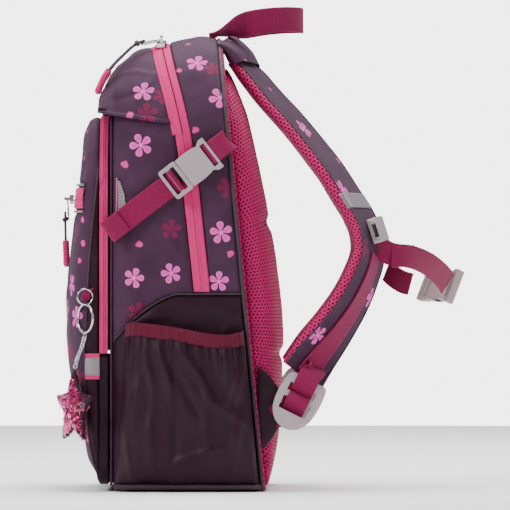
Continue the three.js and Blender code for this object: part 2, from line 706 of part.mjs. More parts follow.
const handlePath = curveThrough([
  [40, 27, 396], [40, 36, 397], [39, 50, 399], [36, 68, 400.5], [28, 86, 401], [15, 98, 400.5],
  [0, 101.5, 400], [-15, 98, 400.5], [-28, 86, 401], [-36, 68, 400.5], [-39, 50, 399],
  [-40, 36, 397], [-40, 27, 396],
]);

// The band of the handle lies flat where it is sewn on and stands on edge round its loop.
function handleAcross(t) {
  const from = Math.min(t, 1 - t);
  const turn = THREE.MathUtils.smoothstep(from, 0.02, 0.2) * THREE.MathUtils.degToRad(84);
  const lean = t < 0.5 ? 1 : -1;
  return new THREE.Vector3(lean * Math.cos(turn), 0, Math.sin(turn));
}

function addHandle() {
  const loop = band(handlePath, handleAcross, () => HANDLE_WEBBING, 3, 40);
  add('carry_handle', loop, 'pink_webbing');
}

// ---- Zip sliders and pulls -----------------------------------------------------------------

// A zip slider at the origin on a tape that faces +Z and runs along X: a plate and a bridge
// with an eye along Y.
function zipSlider() {
  const plate = extrude(roundedRectangle(13, 9, 2.4), 3.4);
  const bridge = box([9, 2.6, 5.6], [0, 0, 5.5]);
  const eye = box([5, 8, 3.4], [0, 0, 5.3]);
  return cut(join(plate, bridge), eye);
}

// The metal puller, from the slider's eye at the origin along -Y: a shank and an oval loop.
function zipPuller() {
  const shank = box([3.6, 6, 1.4], [0, -2.4, 0]);
  const loop = extrude(roundedRectangle(9, 14, 4.4), 1.4).translate(0, -11.4, -0.7);
  return cut(join(shank, loop), box([4.6, 8.4, 4], [0, -11.4, 0]));
}

const GRIP_LENGTH = 21;
const LEG_SPREAD = 3.7; // half the distance between the two legs of a grip
const CORD_RADIUS = 1;
const legSpread = profile([[0, 0.9], [0.15, 1.2], [0.5, 1.5], [1, LEG_SPREAD]]);

// The cord loop and the U-shaped rubber grip of a pull, along a line from the puller's loop to
// the end of the grip. side is the direction in which the legs lie apart.
function cordAndGrip(line, side) {
  const length = line.getLength();
  const start = 1 - GRIP_LENGTH / length;
  const leg = (t, spread) => line.getPointAt(t).addScaledVector(side, spread).toArray();
  const up = [1, 0.85, 0.7, 0.5, 0.3, 0.12].map((part) => [
    part * start - 0.3 / length, legSpread(part),
  ]);
  const cord = [
    ...up.map(([t, spread]) => leg(t, spread)), leg(0, 0),
    ...up.reverse().map(([t, spread]) => leg(t, -spread)),
  ];
  const down = [0.01, 0.3, 0.55, 0.8].map((part) => start + (1 - start) * part);
  const grip = [
    ...down.map((t) => leg(t, LEG_SPREAD)), leg(1 - 1 / length, 2.4), leg(1, 0),
    leg(1 - 1 / length, -2.4), ...down.reverse().map((t) => leg(t, -LEG_SPREAD)),
  ];
  return [tube(cord, CORD_RADIUS, 26), tube(grip, 3.1, 16)];
}

// A slider on a tape that faces one way and runs another, with its puller, cord and grip along
// a line of points that starts at the puller's loop. Without its own cord solid, the cord is
// left as clear space between the puller and the grip.
function addPull(name, place, facing, run, points, withCord = true) {
  const across = new THREE.Vector3().crossVectors(facing, run).normalize();
  const slider = new THREE.Matrix4().makeBasis(run, across, facing).setPosition(place);
  add(`${name}_slider`, moved(zipSlider(), slider), 'chrome');

  const eye = place.clone().addScaledVector(facing, 5.3);
  const line = curveThrough(points);
  const upLine = eye.clone().sub(line.getPointAt(0));
  const lift = new THREE.Vector3().crossVectors(run, upLine).setLength(2.7);
  const back = upLine.add(lift).normalize();
  const upward = new THREE.Vector3().crossVectors(run, back).normalize();
  const puller = new THREE.Matrix4().makeBasis(run, back, upward).setPosition(eye);
  add(`${name}_puller`, moved(zipPuller(), puller), 'chrome');

  const [cord, grip] = cordAndGrip(line, run);
  if (withCord) add(`${name}_pull_cord`, cord, 'cord');
  add(`${name}_pull_grip`, grip, 'grip_rubber');
}

const MAIN_SLIDER_ANGLE = THREE.MathUtils.degToRad(15); // round the top corner, from the vertical

function addPulls() {
  const [sine, cosine] = [Math.sin(MAIN_SLIDER_ANGLE), Math.cos(MAIN_SLIDER_ANGLE)];
  const reach = ARCH_RADIUS + ZIP_PROUD + 1;
  const place = new THREE.Vector3(
    HALF_WIDTH - ARCH_RADIUS + reach * sine, zipCentre(386),
    topAt(-21) - ARCH_RADIUS + reach * cosine,
  );
  addPull(
    'main_zip', place, new THREE.Vector3(sine, 0, cosine), new THREE.Vector3(cosine, 0, -sine),
    [
      [64.5, -35, 390.4], [66, -44, 386.6], [68, -54, 377.6], [69.5, -63, 368.5],
      [71, -71, 357], [72, -76, 346],
    ],
  );
  const small = new THREE.Vector3(18, pocketFront(18, 253) - 3.8, 253);
  addPull(
    'small_pocket', small, new THREE.Vector3(0, -1, 0), new THREE.Vector3(1, 0, 0),
    [[18, small.y - 7.4, 241], [18, small.y - 7.2, 225], [18, small.y - 6.2, 196]],
  );
  const side = -POCKET_HALF_WIDTH - 0.5;
  addPull(
    'front_pocket', new THREE.Vector3(side, -72.6, 200), new THREE.Vector3(-1, 0, 0),
    new THREE.Vector3(0, -1, 0),
    [[side - 7, -72.6, 188], [side - 6.8, -72.6, 172], [side - 6, -72.6, 144]], false,
  );
}

// ---- Star charm ----------------------------------------------------------------------------

function addCharm() {
  const ring = new THREE.TorusGeometry(KEY_RING_RADIUS, 1.1, 6, 24);
  ring.rotateX(Math.PI / 2).rotateZ(RING_TURN).translate(...KEY_RING_CENTRE);
  add('key_ring', merged(ring), 'chrome');
  const [x, y, z] = KEY_RING_CENTRE;
  const foot = z - KEY_RING_RADIUS - 1.1;
  const chain = [
    [x, y, foot - 0.5], [x - 2, y - 3, foot - 11], [x - 4, y - 7, foot - 21], [x - 5, y - 9, foot - 29],
  ];
  add('charm_chain', tube(chain, 1.7, 8), 'chrome');
  add('star_charm', starCharm().translate(x - 5.5, y - 9.5, foot - 30.5 - STAR_RADIUS), 'sequin');
}

// A stuffed five-pointed star, turned so that it lies along the corner of the bag.
function starCharm() {
  const shape = new THREE.Shape();
  for (let i = 0; i < 10; i++) {
    const radius = i % 2 ? STAR_RADIUS * 0.52 : STAR_RADIUS;
    const angle = Math.PI / 2 + (i * Math.PI) / 5;
    const [x, y] = [radius * Math.cos(angle), radius * Math.sin(angle)];
    if (i) shape.lineTo(x, y);
    else shape.moveTo(x, y);
  }
  shape.closePath();
  return extrude(shape, 9).translate(0, 0, -4.5).rotateX(Math.PI / 2).rotateZ(STAR_TURN);
}

addBodyPanels();
addFrontPanel();
addLid();
addMainZip();
addBack();
addFrontPocket();
addSmallPocketZip();
addSidePockets();
addShoulderStraps();
addWings();
addLadderLocks();
addCompressionStraps();
addChestStrap();
addHandle();
addPulls();
addCharm();

export default backpack;
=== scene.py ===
"""Cloth, webbing, zips, buckles and charm of a child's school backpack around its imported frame."""

import math

import bmesh
import bpy
import numpy as np
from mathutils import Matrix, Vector


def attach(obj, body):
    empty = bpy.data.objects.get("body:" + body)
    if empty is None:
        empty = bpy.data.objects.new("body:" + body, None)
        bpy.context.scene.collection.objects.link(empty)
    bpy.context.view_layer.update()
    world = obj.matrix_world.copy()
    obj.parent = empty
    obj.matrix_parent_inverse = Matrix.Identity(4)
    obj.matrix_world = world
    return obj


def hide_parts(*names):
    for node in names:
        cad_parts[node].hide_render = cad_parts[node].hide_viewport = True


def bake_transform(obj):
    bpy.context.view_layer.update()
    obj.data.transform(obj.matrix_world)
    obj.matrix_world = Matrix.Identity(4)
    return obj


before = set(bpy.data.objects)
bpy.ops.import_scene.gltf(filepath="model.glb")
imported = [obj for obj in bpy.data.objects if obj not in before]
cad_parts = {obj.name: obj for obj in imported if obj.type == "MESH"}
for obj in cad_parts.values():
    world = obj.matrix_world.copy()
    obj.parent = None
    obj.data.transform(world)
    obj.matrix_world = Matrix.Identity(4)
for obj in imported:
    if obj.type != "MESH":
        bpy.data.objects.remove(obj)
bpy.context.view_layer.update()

bl_info = {
    "name": "School backpack",
    "version": (1, 0, 0),
    "blender": (4, 5, 0),
    "location": "3D View > Sidebar > Backpack",
    "description": "Builds the cloth, straps, zips, buckles and charm of a school backpack",
    "category": "Add Mesh",
}

MM = 0.001
GAP = 0.4  # millimetres between neighbouring cloths
CLOTH_WALL = 2.4  # millimetres of cloth and padding in the panels
PANEL_FOOT = 5.4  # height of the foot of the side and front panels
BAG = "bag"
WAVES = 9  # sines in a crumpled cloth
BEAD_SIDES, BEAD_RINGS = 6, 4  # faces round and along a stitch
SIDES = (("right", 1), ("left", -1))


def srgb(red, green, blue):
    """Linear colour of an eight-bit colour: c / 12.92 below 0.04, ((c + 0.055) / 1.055) ** 2.4 above."""
    c = np.array([red, green, blue]) / 255
    return tuple(np.where(c <= 0.04045, c / 12.92, ((c + 0.055) / 1.055) ** 2.4).tolist())


def rgba(red, green, blue):
    return (*srgb(red, green, blue), 1)


# ---- Sizes and colours ------------------------------------------------------------------------


def length_of(name, text, value):
    return bpy.props.FloatProperty(name=name, description=text, default=value, unit="LENGTH")


def colour_of(name, text, value):
    return bpy.props.FloatVectorProperty(
        name=name, description=text, default=srgb(*value), subtype="COLOR", min=0, max=1
    )


class BackpackSizes(bpy.types.PropertyGroup):
    """Sizes of the cloth details, in metres."""

    flower_pitch: length_of("Flower pitch", "Distance between printed flowers", 0.043)
    stitch_pitch: length_of("Stitch pitch", "Length of one stitch and its gap", 0.003)
    webbing_thickness: length_of("Webbing thickness", "Thickness of the pink webbing", 0.0018)
    sequin_size: length_of("Sequin size", "Diameter of a sequin on the star", 0.0042)
    cord_size: length_of("Pull cord", "Diameter of the cords of the zip pulls", 0.0022)
    moulded_edge: length_of("Moulded edge", "Rounding of the moulded plastic edges", 0.0008)


class BackpackColours(bpy.types.PropertyGroup):
    """Colours of the cloths and fittings."""

    print_base: colour_of("Print", "Ground of the printed cloth", (53, 30, 49))
    petal: colour_of("Petals", "Large printed flowers", (220, 80, 172))
    crimson: colour_of("Crimson", "Dotted printed flowers", (138, 14, 72))
    wine: colour_of("Wine", "Plain cloth of the lower sides and pockets", (34, 3, 22))
    pink: colour_of("Pink", "Webbing, zip tapes and grips", (140, 0, 72))
    mesh: colour_of("Mesh", "Air mesh of the back and straps", (172, 0, 84))
    # Painted shade: a dark copy of the mesh pink, for the shade inside the mesh holes.
    mesh_hole_shade: colour_of("Mesh holes", "Inside of the mesh holes", (58, 2, 28))
    elastic: colour_of("Elastic", "Binding of the side pockets", (106, 0, 48))
    grey: colour_of("Grey", "Moulded buckles and ladder locks", (162, 148, 152))
    reflective: colour_of("Reflective", "Reflective strips", (150, 142, 146))
    cord: colour_of("Cord", "Cords of the zip pulls", (30, 18, 28))
    lining: colour_of("Lining", "Inside of the bag", (48, 34, 50))
    metal: colour_of("Metal", "Plated sliders, rings and chain", (208, 208, 212))


# ---- Curves and profiles ----------------------------------------------------------------------


def profile(pairs):
    """A smooth value over a distance: cubic Hermite pieces through the pairs, whose slopes come from the
    neighbours of each."""
    x, y = np.array(pairs, float).T
    slope = np.gradient(y, x)
    slope[1:-1] = (y[2:] - y[:-2]) / (x[2:] - x[:-2])

    def value(distance):
        k = np.clip(np.searchsorted(x, distance), 1, len(x) - 1)
        span = x[k] - x[k - 1]
        t = np.clip((distance - x[k - 1]) / span, 0, 1)
        return (
            (2 * t**3 - 3 * t**2 + 1) * y[k - 1]
            + (t**3 - 2 * t**2 + t) * span * slope[k - 1]
            + (3 * t**2 - 2 * t**3) * y[k]
            + (t**3 - t**2) * span * slope[k]
        )

    return value


def unit(vectors):
    """Vectors divided by their lengths."""
    return vectors / np.maximum(np.linalg.norm(vectors, axis=-1, keepdims=True), 1e-9)


def circle(count):
    """Even angles round a full turn."""
    return np.linspace(0, 2 * np.pi, count, endpoint=False)


def signed_power(value, power):
    """The size of a value to a power, with the value's sign: powers below one square off a circle."""
    return np.sign(value) * np.abs(value) ** power


def run_along(points):
    """The distance of each point of a line from its first."""
    return np.concatenate([[0], np.cumsum(np.linalg.norm(np.diff(points, axis=0), axis=1))])


def resample(points, run, at):
    """The points that lie at some distances along a line."""
    return np.stack([np.interp(at, run, points[:, k]) for k in range(points.shape[1])], -1)


def together(*parts):
    """Arrays of numbers as one array of points or pairs."""
    return np.stack(np.broadcast_arrays(*parts), -1)


def bell(value, width):
    """exp(-(value / width)^2)."""
    return np.exp(-((value / width) ** 2))


class Path:
    """A centripetal Catmull-Rom curve through points, read by its share of length from 0 to 1."""

    def __init__(self, points, per_span=48):
        p = np.array(points, float)
        p = np.vstack([2 * p[0] - p[1], p, 2 * p[-1] - p[-2]])
        step = np.maximum(np.linalg.norm(np.diff(p, axis=0), axis=1), 1e-6) ** 0.5
        p0, p1, p2, p3 = p[:-3], p[1:-2], p[2:-1], p[3:]
        d0, d1, d2 = (step[k : len(step) - 2 + k, None] for k in range(3))
        m1 = ((p1 - p0) / d0 - (p2 - p0) / (d0 + d1) + (p2 - p1) / d1) * d1
        m2 = ((p2 - p1) / d1 - (p3 - p1) / (d1 + d2) + (p3 - p2) / d2) * d1
        u = np.linspace(0, 1, per_span, endpoint=False)[None, :, None]
        p1, p2, m1, m2 = (a[:, None] for a in (p1, p2, m1, m2))
        c = p1 + m1 * u + (-3 * p1 + 3 * p2 - 2 * m1 - m2) * u**2 + (2 * p1 - 2 * p2 + m1 + m2) * u**3
        self.dense = np.vstack([c.reshape(-1, 3), p[-2:-1]])
        run = run_along(self.dense)
        self.length = float(run[-1])
        self.share = run / self.length

    def at(self, t):
        return resample(self.dense, self.share, t)

    def tangent(self, t):
        """Direction from just before to just after a share."""
        low, high = (np.clip(np.asarray(t) + reach, 0, 1) for reach in (-4e-3, 4e-3))
        return unit(self.at(high) - self.at(low))


def smoothstep(value, low, high):
    """3t^2 - 2t^3, where t is the share from low to high, held between 0 and 1."""
    t = np.clip((value - low) / (high - low), 0, 1)
    return t * t * (3 - 2 * t)


def parameters(columns, rows):
    """Two arrays of parameters from 0 to 1 on a grid."""
    return np.meshgrid(np.linspace(0, 1, columns + 1), np.linspace(0, 1, rows + 1), indexing="ij")


def crumple(a, b, seed, size=26.0):
    """Soft cloth relief from -1 to 1: sines of both distances in seeded directions, about one size long."""
    rng = np.random.default_rng(seed)
    total = np.zeros(np.broadcast(a, b).shape)
    for _ in range(WAVES):
        turn, pitch, shift = rng.uniform(0, math.pi), size * rng.uniform(0.6, 1.9), rng.uniform(0, 6.3)
        bend = 0.6 * np.sin((a * math.sin(turn) - b * math.cos(turn)) / pitch * 2.1 + shift)
        total += np.sin((a * math.cos(turn) + b * math.sin(turn)) / pitch * 6.283 + shift + bend)
    return total / WAVES * 1.6


def creases(a, b, lines):
    """Relief of single folds: each (middle a, middle b, turn in degrees, half length, half width, height) is a
    ridge whose height falls as exp(-(across / width)^2 - (along / length)^2)."""
    total = np.zeros(np.broadcast(a, b).shape)
    for middle_a, middle_b, turn, length, width, height in lines:
        c, s = math.cos(math.radians(turn)), math.sin(math.radians(turn))
        along, across = (a - middle_a) * c + (b - middle_b) * s, (b - middle_b) * c - (a - middle_a) * s
        across = across + 0.0025 * along**2 * (1 if height > 0 else -1)
        total += height * np.exp(-((across / width) ** 2) - (along / length) ** 2)
    return total


def seam_pull(u, v, across, along, depth=1.3, swell=1.8):
    """Cloth between seams: pulled in by depth at its edges and standing out by swell away from them, from the
    distance to the nearest edge."""
    edge = np.minimum(np.minimum(u, 1 - u) * across, np.minimum(v, 1 - v) * along)
    return -depth * bell(edge, 2.2) + swell * (1 - np.exp(-edge / 13))


# ---- Meshes -----------------------------------------------------------------------------------


def grid_quads(columns, rows, wrap_columns, wrap_rows):
    """Corner numbers of the quads of a grid of points, joined end to end where it wraps."""
    index = np.arange(columns * rows).reshape(columns, rows)
    if wrap_columns:
        index = np.vstack([index, index[:1]])
    if wrap_rows:
        index = np.hstack([index, index[:, :1]])
    a, b, c, d = index[:-1, :-1], index[1:, :-1], index[1:, 1:], index[:-1, 1:]
    return together(a, b, c, d).reshape(-1, 4)


def with_ends(rows):
    """Rows with the first and last repeated, for the closed ends of a tube."""
    return np.concatenate([rows[:1], rows, rows[-1:]])


def capped(grid):
    """A tube's grid with both its ends drawn together to a point."""
    ends = [np.repeat(grid[k : k + 1].mean(1, keepdims=True), grid.shape[1], 1) for k in (0, -1)]
    return np.concatenate([ends[0], grid, ends[1]])


def faces_out(points, quads, closed, heart):
    """Whether the faces point out: by the volume they enclose, or away from a point inside the bag."""
    a, b, c, d = (points[quads[:, k]] for k in range(4))
    normal = np.cross(c - a, d - b)
    middle = (a + b + c + d) / 4 - (np.zeros(3) if closed else np.array(heart))
    return (normal * middle).sum() > 0


def build(
    name, grid, finish, body, replaces=(), cloth=None, wrap=(False, False), closed=False, thickness=0.0,
    flowers=None, side=1, heart=(0, 0, 200), material_of=None,
):
    """Makes a piece from a grid of points in millimetres, with its cloth distances as a UV map, the offset from
    the nearest printed flower on each corner, and a wall of some thickness where it is an open sheet."""
    grid = np.array(grid, float)
    if side < 0:
        grid[..., 0] *= -1
        heart = (-heart[0], heart[1], heart[2])
    m, n = grid.shape[:2]
    points = grid.reshape(-1, 3)
    quads = grid_quads(m, n, *wrap)
    if cloth is None:
        cloth = together(grid[..., 1], grid[..., 2])
    cloth = np.array(cloth, float).reshape(-1, 2)
    if not faces_out(points, quads, closed, heart):
        quads = quads[:, ::-1]
    return mesh_piece(
        name, points, quads, finish, body, replaces, cloth, thickness, flowers, material_of
    )


def mesh_piece(
    name, points, quads, finish, body, replaces=(), cloth=None, thickness=0.0, flowers=None, material_of=None,
    shade=None,
):
    """Makes a piece from points in millimetres and faces, and puts it on its body."""
    mesh = bpy.data.meshes.new(name)
    corners = quads.shape[1]
    mesh.vertices.add(len(points))
    mesh.vertices.foreach_set("co", (points * MM).ravel())
    mesh.loops.add(quads.size)
    mesh.loops.foreach_set("vertex_index", quads.ravel().astype(np.int32))
    mesh.polygons.add(len(quads))
    mesh.polygons.foreach_set("loop_start", np.arange(0, quads.size, corners, dtype=np.int32))
    mesh.update(calc_edges=True)
    if cloth is not None:
        corner_cloth = cloth[quads]
        mesh.uv_layers.new(name="Cloth").data.foreach_set("uv", corner_cloth.reshape(-1, 2).ravel())
        if flowers is not None:
            attribute = mesh.attributes.new("bloom", "FLOAT_VECTOR", "CORNER")
            attribute.data.foreach_set("vector", bloom_of(corner_cloth, flowers).ravel())
    # A value on each corner for the painted shade and random tone of the sequins.
    if shade is not None:
        attribute = mesh.attributes.new("shade", "FLOAT", "CORNER")
        attribute.data.foreach_set("value", shade[quads].ravel())
    finishes = finish if isinstance(finish, (list, tuple)) else [finish]
    for f in finishes:
        mesh.materials.append(bpy.data.materials[f])
    if material_of is not None:
        mesh.polygons.foreach_set("material_index",
            np.asarray(material_of(points[quads].mean(1), quads), np.int32))
    mesh.polygons.foreach_set("use_smooth", np.ones(len(quads), bool))
    weld(mesh)
    piece = bpy.data.objects.new(name, mesh)
    bpy.context.scene.collection.objects.link(piece)
    if thickness:
        wall = piece.modifiers.new("Wall", "SOLIDIFY")
        wall.thickness, wall.offset, wall.use_even_offset = thickness * MM, -1.0, False
    return dress(piece, body, replaces)


def weld(mesh):
    """Merges points that coincide and drops the faces that this closes."""
    work = bmesh.new()
    work.from_mesh(mesh)
    bmesh.ops.remove_doubles(work, verts=work.verts, dist=2e-6)
    bmesh.ops.dissolve_degenerate(work, edges=work.edges, dist=1e-7)
    work.to_mesh(mesh)
    work.free()
    mesh.update()


def dress(piece, body, replaces):
    """Puts a piece on its body and the CAD nodes it stands for."""
    if body:
        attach(piece, body)
    if replaces:
        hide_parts(*([replaces] if isinstance(replaces, str) else replaces))
    return piece


def copies(quads, points, count):
    """The quads of some copies of a piece, each with so many points."""
    return (quads[None] + np.arange(count)[:, None, None] * points).reshape(-1, 4)


def joined(parts):
    """Points and quads of several parts as one."""
    points, quads, start = [], [], 0
    for p, q in parts:
        points.append(p)
        quads.append(q + start)
        start += len(p)
    return np.vstack(points), np.vstack(quads)


# ---- Printed flowers --------------------------------------------------------------------------

LARGE, DOTTED, BUD = 0, 1, 2
# Flowers of the right side and top: depth, height along the cloth, kind, turn in degrees, size.
SIDE_FLOWERS = [
    (-36, 348, LARGE, 10, 1.0), (-38, 298, LARGE, 40, 1.0), (-33, 326, DOTTED, 20, 1.0),
    (-20, 343, DOTTED, 55, 0.8), (10, 379, LARGE, 5, 1.0), (30, 341, LARGE, 50, 1.0),
    (31, 223, LARGE, 25, 1.0), (-44, 184, LARGE, 0, 0.9), (-12, 188, LARGE, 35, 0.9),
    (29, 181, LARGE, 15, 0.9), (-52, 283, BUD, 0, 1.3), (-12, 226, DOTTED, 12, 0.9),
    (-40, 214, BUD, 30, 1.2), (36, 262, DOTTED, 40, 0.9), (8, 312, BUD, 60, 1.2),
    (26, 300, BUD, 0, 1.2), (-48, 326, BUD, 50, 1.1), (-6, 372, BUD, 20, 1.1),
    (24, 372, DOTTED, 30, 0.8), (-50, 245, BUD, 10, 1.2), (38, 205, BUD, 80, 1.2),
    (-20, 268, BUD, 80, 1.1),
]


def flower_field(seed, reach, own=(), room=None):
    """Flowers on a seeded, shaken hexagonal grid over a square of cloth: depth, height, kind, turn and size of
    each. A piece's own flowers take the place of those inside their box, or of those nearer than some room."""
    rng = np.random.default_rng(seed)
    pitch = bpy.context.scene.backpack_sizes.flower_pitch / MM
    low_a, high_a, low_b, high_b = reach
    rows = []
    for i, b in enumerate(np.arange(low_b, high_b, pitch * 0.62)):
        for k, a in enumerate(np.arange(low_a + (i % 2) * pitch / 2, high_a, pitch)):
            kind = [LARGE, BUD, DOTTED, BUD][(i + 2 * k + (i // 2)) % 4]
            shake = rng.uniform(-0.13, 0.13, 2) * pitch
            rows.append((a + shake[0], b + shake[1], kind, rng.uniform(0, 72), rng.uniform(0.85, 1.05)))
    field = np.array(rows)
    if len(own):
        own = np.array(own, float)
        low, high = own[:, :2].min(0) - 22, own[:, :2].max(0) + 22
        inside = ((field[:, :2] > low) & (field[:, :2] < high)).all(1)
        if room:
            inside = np.linalg.norm(field[:, None, :2] - own[None, :, :2], axis=2).min(1) < room
        field = np.vstack([own, field[~inside]])
    return field


def bloom_of(corner_cloth, flowers):
    """For each corner, its offset from the flower nearest the middle of its face, turned and scaled to that
    flower, and the flower's kind."""
    middle = corner_cloth.mean(1)
    nearest = np.linalg.norm(middle[:, None] - flowers[None, :, :2], axis=2).argmin(1)
    own = flowers[nearest]
    away = corner_cloth - own[:, None, :2]
    c, s = np.cos(np.radians(own[:, 3]))[:, None], np.sin(np.radians(own[:, 3]))[:, None]
    a = (away[..., 0] * c + away[..., 1] * s) / own[:, 4:5]
    b = (away[..., 1] * c - away[..., 0] * s) / own[:, 4:5]
    return together(a, b, np.broadcast_to(own[:, 2:3], a.shape))


# ---- Finishes ---------------------------------------------------------------------------------


def operator_of(operation):
    """A method that adds a Math node between a value and any other it is given."""
    return lambda self, *others: self.graph.maths(operation, self, *others)


class Value:
    """A number from a node, which adds Math nodes where it is used in an expression."""

    def __init__(self, graph, socket):
        self.graph, self.socket = graph, socket

    __add__, __sub__, __mul__ = operator_of("ADD"), operator_of("SUBTRACT"), operator_of("MULTIPLY")
    __truediv__, __pow__, __abs__ = operator_of("DIVIDE"), operator_of("POWER"), operator_of("ABSOLUTE")
    least, most, rest = operator_of("MINIMUM"), operator_of("MAXIMUM"), operator_of("FLOORED_MODULO")
    sine, cosine, root = operator_of("SINE"), operator_of("COSINE"), operator_of("SQRT")

    def step(self, low, high):
        """From 0 below low to 1 above high, smoothly; low above high turns it round."""
        return self.graph.node(
            "ShaderNodeMapRange",
            {"interpolation_type": "SMOOTHSTEP"},
            {"Value": self, "From Min": low, "From Max": high},
        )


class Finish:
    """One material's nodes."""

    def __init__(self, name):
        self.material = bpy.data.materials.new(name)
        self.material.use_nodes = True
        self.tree = self.material.node_tree
        self.tree.nodes.clear()

    def node(self, kind, settings=None, inputs=None, output=0):
        """Adds a node with its settings. Inputs that are values are linked, and the others are set."""
        node = self.tree.nodes.new(kind)
        for key, value in (settings or {}).items():
            if key == "stops":
                ramp = node.color_ramp.elements
                while len(ramp) < len(value):
                    ramp.new(0.5)
                for element, (place, colour) in zip(ramp, value):
                    element.position, element.color = place, (*colour, 1)
            else:
                setattr(node, key, value)
        for key, value in (inputs or {}).items():
            if isinstance(value, Value):
                self.tree.links.new(value.socket, node.inputs[key])
            else:
                node.inputs[key].default_value = value
        return Value(self, node.outputs[output]) if node.outputs else None

    def maths(self, operation, a, b=None):
        return self.node("ShaderNodeMath", {"operation": operation}, {0: a} if b is None else {0: a, 1: b})

    def split(self, vector):
        """The three parts of a vector."""
        return [self.node("ShaderNodeSeparateXYZ", None, {0: vector}, k) for k in range(3)]

    def cloth(self):
        """Distances along the cloth, in millimetres."""
        return self.split(self.node("ShaderNodeUVMap", {"uv_map": "Cloth"}))[:2]

    def place(self):
        return self.node("ShaderNodeTexCoord", None, None, "Object")

    def noise(self, scale, detail=3.0):
        return self.node("ShaderNodeTexNoise", None, {"Vector": self.place(), "Scale": scale, "Detail": detail})

    def colour(self, name, share=1.0):
        """A colour setting with its red, green and blue multiplied by a share."""
        return (*(c * share for c in getattr(bpy.context.scene.backpack_colours, name)), 1)

    def mix(self, factor, a, b):
        return self.node("ShaderNodeMix", {"data_type": "RGBA"}, {0: factor, 6: a, 7: b}, 2)

    def bump(self, height, distance, strength, below=None):
        inputs = {"Height": height, "Distance": distance, "Strength": strength}
        if below is not None:
            inputs["Normal"] = below
        return self.node("ShaderNodeBump", None, inputs)

    def surface(self, base, roughness, normal=None, **fixed):
        """The Principled shader: base, roughness and normal may vary, and the fixed values are set on it."""
        inputs = {"Base Color": base, "Roughness": roughness}
        if normal is not None:
            inputs["Normal"] = normal
        inputs.update({key.replace("_", " ").title().replace("Ior", "IOR"): value
            for key, value in fixed.items()})
        shader = self.node("ShaderNodeBsdfPrincipled", None, inputs)
        self.node("ShaderNodeOutputMaterial", None, {"Surface": shader})
        return self.material


def weave(u, v, pitch):
    """Plain weave from 0 to 1: the product of two sines over both cloth distances."""
    turn = 2 * math.pi / pitch
    return (u * turn).sine() * (v * turn).sine() * 0.5 + 0.5


def printed_cloth():
    g = Finish("printed_cloth")
    u, v = g.cloth()
    a, b, kind = g.split(g.node("ShaderNodeAttribute", {"attribute_name": "bloom"}, None, "Vector"))
    away = (a * a + b * b).root()
    turn = g.maths("ARCTAN2", b, a)
    # Each petal is an egg along its own fifth of a turn, wider towards its tip.
    local = (turn + math.pi / 5).rest(2 * math.pi / 5) - math.pi / 5
    along, beside = away * local.cosine() - 5.6, away * local.sine()
    egg = (along * along * 0.059 + beside * beside / (along * 0.32 + 2.75) ** 2.0).root()
    petals = (egg - 1.0).step(0.1, -0.1)
    eye = away.step(2.2, 1.6)
    vein = abs(beside).step(0.5, 0.1) * egg.step(0.9, 0.4)
    dotted = kind.step(0.4, 0.6) * kind.step(1.6, 1.4)
    bud = kind.step(1.4, 1.6)
    large = kind.step(0.6, 0.4)
    dots = ((a * 3.6).sine() * (b * 3.6).sine()).step(-0.25, 0.1)
    heart = (away - (turn.sine() * -1.0 + abs((turn * 1.5).sine()) * 0.9 + 1.7)).step(0.3, -0.3)
    grain = weave(u, v, 1.6)
    tone = g.noise(38.0, 2.0)
    base = g.mix(grain, g.colour("print_base"), g.colour("print_base", 2.1))
    base = g.mix(tone.step(0.3, 0.75) * 0.35, base, g.colour("print_base", 0.6))
    petal = g.mix(vein * 0.5, g.colour("petal"), rgba(176, 40, 128))
    petal = g.mix(egg.step(0.75, 1.0) * 0.35, petal, rgba(246, 140, 214))
    petals = petals.most(eye)
    base = g.mix(petals * large, base, petal)
    base = g.mix(petals * dotted * (dots * 0.75 + 0.1), base, g.colour("crimson"))
    base = g.mix(heart * bud, base, rgba(206, 60, 140))
    relief = g.bump(grain + g.noise(900.0, 2.0) * 0.5, 0.00022, 0.7)
    relief = g.bump(tone, 0.0016, 0.35, relief)
    return g.surface(base, grain * 0.12 + 0.66, relief, sheen_weight=0.03, specular_ior_level=0.15)


def wine_cloth():
    g = Finish("wine_cloth")
    u, v = g.cloth()
    grain = weave(u, v, 0.9)
    tone = g.noise(30.0, 3.0)
    base = g.mix(tone.step(0.35, 0.7) * 0.5, g.colour("wine"), rgba(20, 2, 13))
    base = g.mix(grain * 0.3, base, rgba(52, 11, 35))
    relief = g.bump(grain, 0.00012, 0.6)
    relief = g.bump(tone + g.noise(90.0, 3.0) * 0.35, 0.002, 0.4, relief)
    return g.surface(base, tone * 0.2 + 0.34, relief, sheen_weight=0.02, specular_ior_level=0.2)


def ribbed_webbing():
    g = Finish("ribbed_webbing")
    u, v = g.cloth()
    ribs = (u * (2 * math.pi / 1.35) + (v * (math.pi / 2.0)).sine() * 0.9).sine() * 0.5 + 0.5
    fuzz = g.noise(700.0, 3.0)
    base = g.mix(ribs * 0.55 + fuzz * 0.2, g.colour("pink", 0.62), g.colour("pink"))
    base = g.mix(g.noise(26.0).step(0.45, 0.8) * 0.25, base, g.colour("pink", 0.6))
    relief = g.bump(ribs + fuzz * 0.4, 0.0003, 0.8)
    return g.surface(base, fuzz * 0.15 + 0.5, relief, sheen_weight=0.04, specular_ior_level=0.22)


